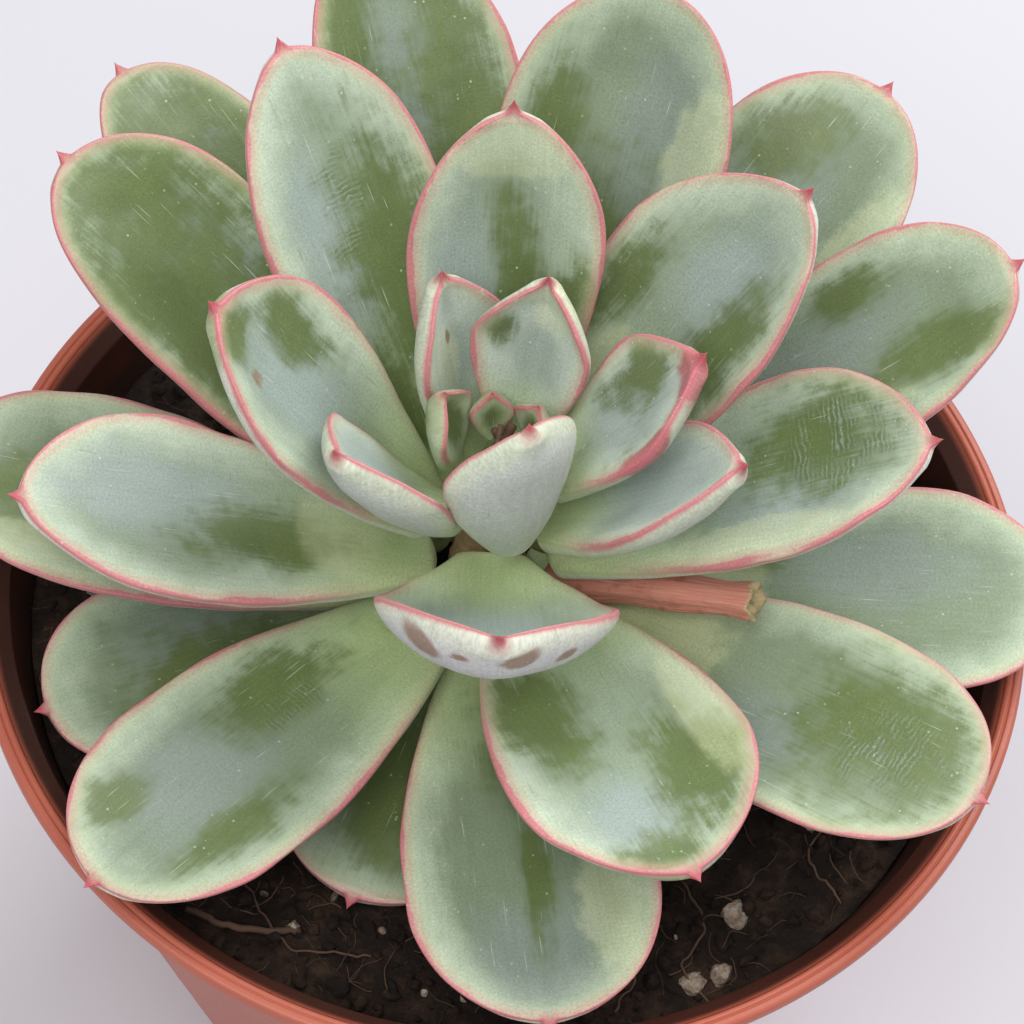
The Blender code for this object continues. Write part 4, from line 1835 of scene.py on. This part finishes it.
def tube(name: str, line: np.ndarray, radius: float, around: int, seed: int) -> bpy.types.Mesh:
    """A closed round tube along a line, with a slightly uneven girth.

    Args:
        name: The mesh's name.
        line: Points in metres.
        radius: Its radius in metres.
        around: Points round it.
        seed: Chooses the unevenness.

    Returns:
        The mesh.
    """
    along = np.gradient(line, axis=0)
    along /= np.linalg.norm(along, axis=1, keepdims=True)
    across = np.cross(along, np.array([0.0, 0.0, 1.0]))
    across /= np.linalg.norm(across, axis=1, keepdims=True)
    over = np.cross(across, along)
    angle = np.arange(around) * 2 * pi / around
    girth = radius * (
        1 + 0.22 * ripple(seed, np.arange(len(line))[:, None] * 1.0, 3 * np.cos(angle)[None, :], 6)
    )
    rings = line[:, None, :] + girth[..., None] * (
        np.cos(angle)[None, :, None] * over[:, None, :] + np.sin(angle)[None, :, None] * across[:, None, :]
    )
    return ring_mesh(name, np.concatenate([rings[:1], rings, rings[-1:]]))


def joined(name: str, parts: Sequence[bpy.types.Mesh]) -> bpy.types.Mesh:
    """Joins meshes into one.

    Args:
        name: The new mesh's name.
        parts: The meshes, which are removed.

    Returns:
        The joined mesh.
    """
    pieces = [put(part.name, part, None) for part in parts]
    with bpy.context.temp_override(active_object=pieces[0], selected_editable_objects=pieces):
        bpy.ops.object.join()
    mesh = pieces[0].data.copy()
    mesh.name = name
    bpy.data.objects.remove(pieces[0])
    return mesh


# ---------------------------------------------------------------- studio


@dataclass(frozen=True)
class Studio:
    """A plain pale floor, a soft window-like light from above and behind, and a fill."""

    floor_half: float = 3000
    floor_colour: str = "#C6C5CB"
    sky_colour: str = "#F6F8FC"
    sky_strength: float = 0.62

    def floor(self) -> None:
        """Builds the floor and its paint."""
        material, g = shader_graph("matt_white_card")
        g.add("place", "TexCoord")
        g.add("tooth", "TexNoise", {"Vector": "@place.Object", "Scale": 1 / (0.6 * MM), "Detail": 2.0})
        finish_surface(g, {"Base Color": self.floor_colour, "Roughness": 0.9}, "@tooth", 0.02)
        half = self.floor_half * MM
        mesh = bpy.data.meshes.new("floor")
        mesh.from_pydata(
            [(-half, -half, 0), (half, -half, 0), (half, half, 0), (-half, half, 0)], [], [(0, 1, 2, 3)]
        )
        put("floor", mesh, material)

    def light(self, name: str, place: Vector, size: float, power: float, colour: str) -> None:
        """Hangs a square soft light that faces the plant.

        Args:
            name: Its name.
            place: Where it hangs, in metres.
            size: Its side, in metres.
            power: Its power in watts.
            colour: Its colour.
        """
        data = bpy.data.lights.new(name, "AREA")
        data.shape = "SQUARE"
        data.size = size
        data.energy = power
        data.color = linear(colour)[:3]
        lamp = bpy.data.objects.new(name, data)
        lamp.location = place
        lamp.rotation_mode = "QUATERNION"
        lamp.rotation_quaternion = (Vector((0, 0, 0.08)) - place).to_track_quat("-Z", "Y")
        bpy.context.scene.collection.objects.link(lamp)

    def sky(self) -> None:
        """Lights everything evenly from all round."""
        world = bpy.data.worlds.new("even_light")
        world.use_nodes = True
        bpy.context.scene.world = world
        g = Graph(world.node_tree)
        g.add("glow", "Background", {"Color": self.sky_colour, "Strength": self.sky_strength})
        g.add("output", "OutputWorld", {"Surface": "@glow"})

    def build(self) -> None:
        """Builds the floor and hangs the lights."""
        self.floor()
        self.sky()
        self.light("window", Vector((0.3, 0.4, 0.66)), 0.5, 4.6, "#FFFFFF")
        self.light("fill", Vector((-0.15, -0.4, 0.95)), 0.6, 5.6, "#FFFCF8")
        bpy.context.scene.view_settings.view_transform = "Standard"


@dataclass(frozen=True)
class Viewpoint:
    """The camera: steeply above the front, turned a little about its own line of sight."""

    elevation: float = 57
    roll: float = 7.4
    distance: float = 400
    aim_y: float = 8.7
    lens: float = 122
    sensor: float = 36

    def build(self) -> None:
        """Makes the camera and looks through it."""
        rise = radians(self.elevation)
        back = Vector((0, -cos(rise), sin(rise)))
        right = Vector((1, 0, 0))
        over = back.cross(right)
        tilt = radians(self.roll)
        side = right * cos(tilt) + over * sin(tilt)
        top = over * cos(tilt) - right * sin(tilt)
        rim_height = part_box("pot")[1].z
        place = Vector((0, self.aim_y * MM, rim_height)) + back * self.distance * MM
        data = bpy.data.cameras.new("viewpoint")
        data.sensor_width = self.sensor
        data.lens = self.lens
        data.clip_start = 0.01
        camera = bpy.data.objects.new("viewpoint", data)
        camera.matrix_world = Matrix.Translation(place) @ Matrix((side, top, back)).transposed().to_4x4()
        bpy.context.scene.collection.objects.link(camera)
        bpy.context.scene.camera = camera


def main() -> None:
    """Builds the pot, the soil, the rosette, the studio and the camera."""
    logging.basicConfig(level=logging.INFO, format="%(name)s: %(message)s")
    pot = Pot()
    settle(pot.build(), "pot")
    Soil().build(pot)
    Rosette().build()
    Studio().build()
    Viewpoint().build()


if __name__ == "__main__":
    main()
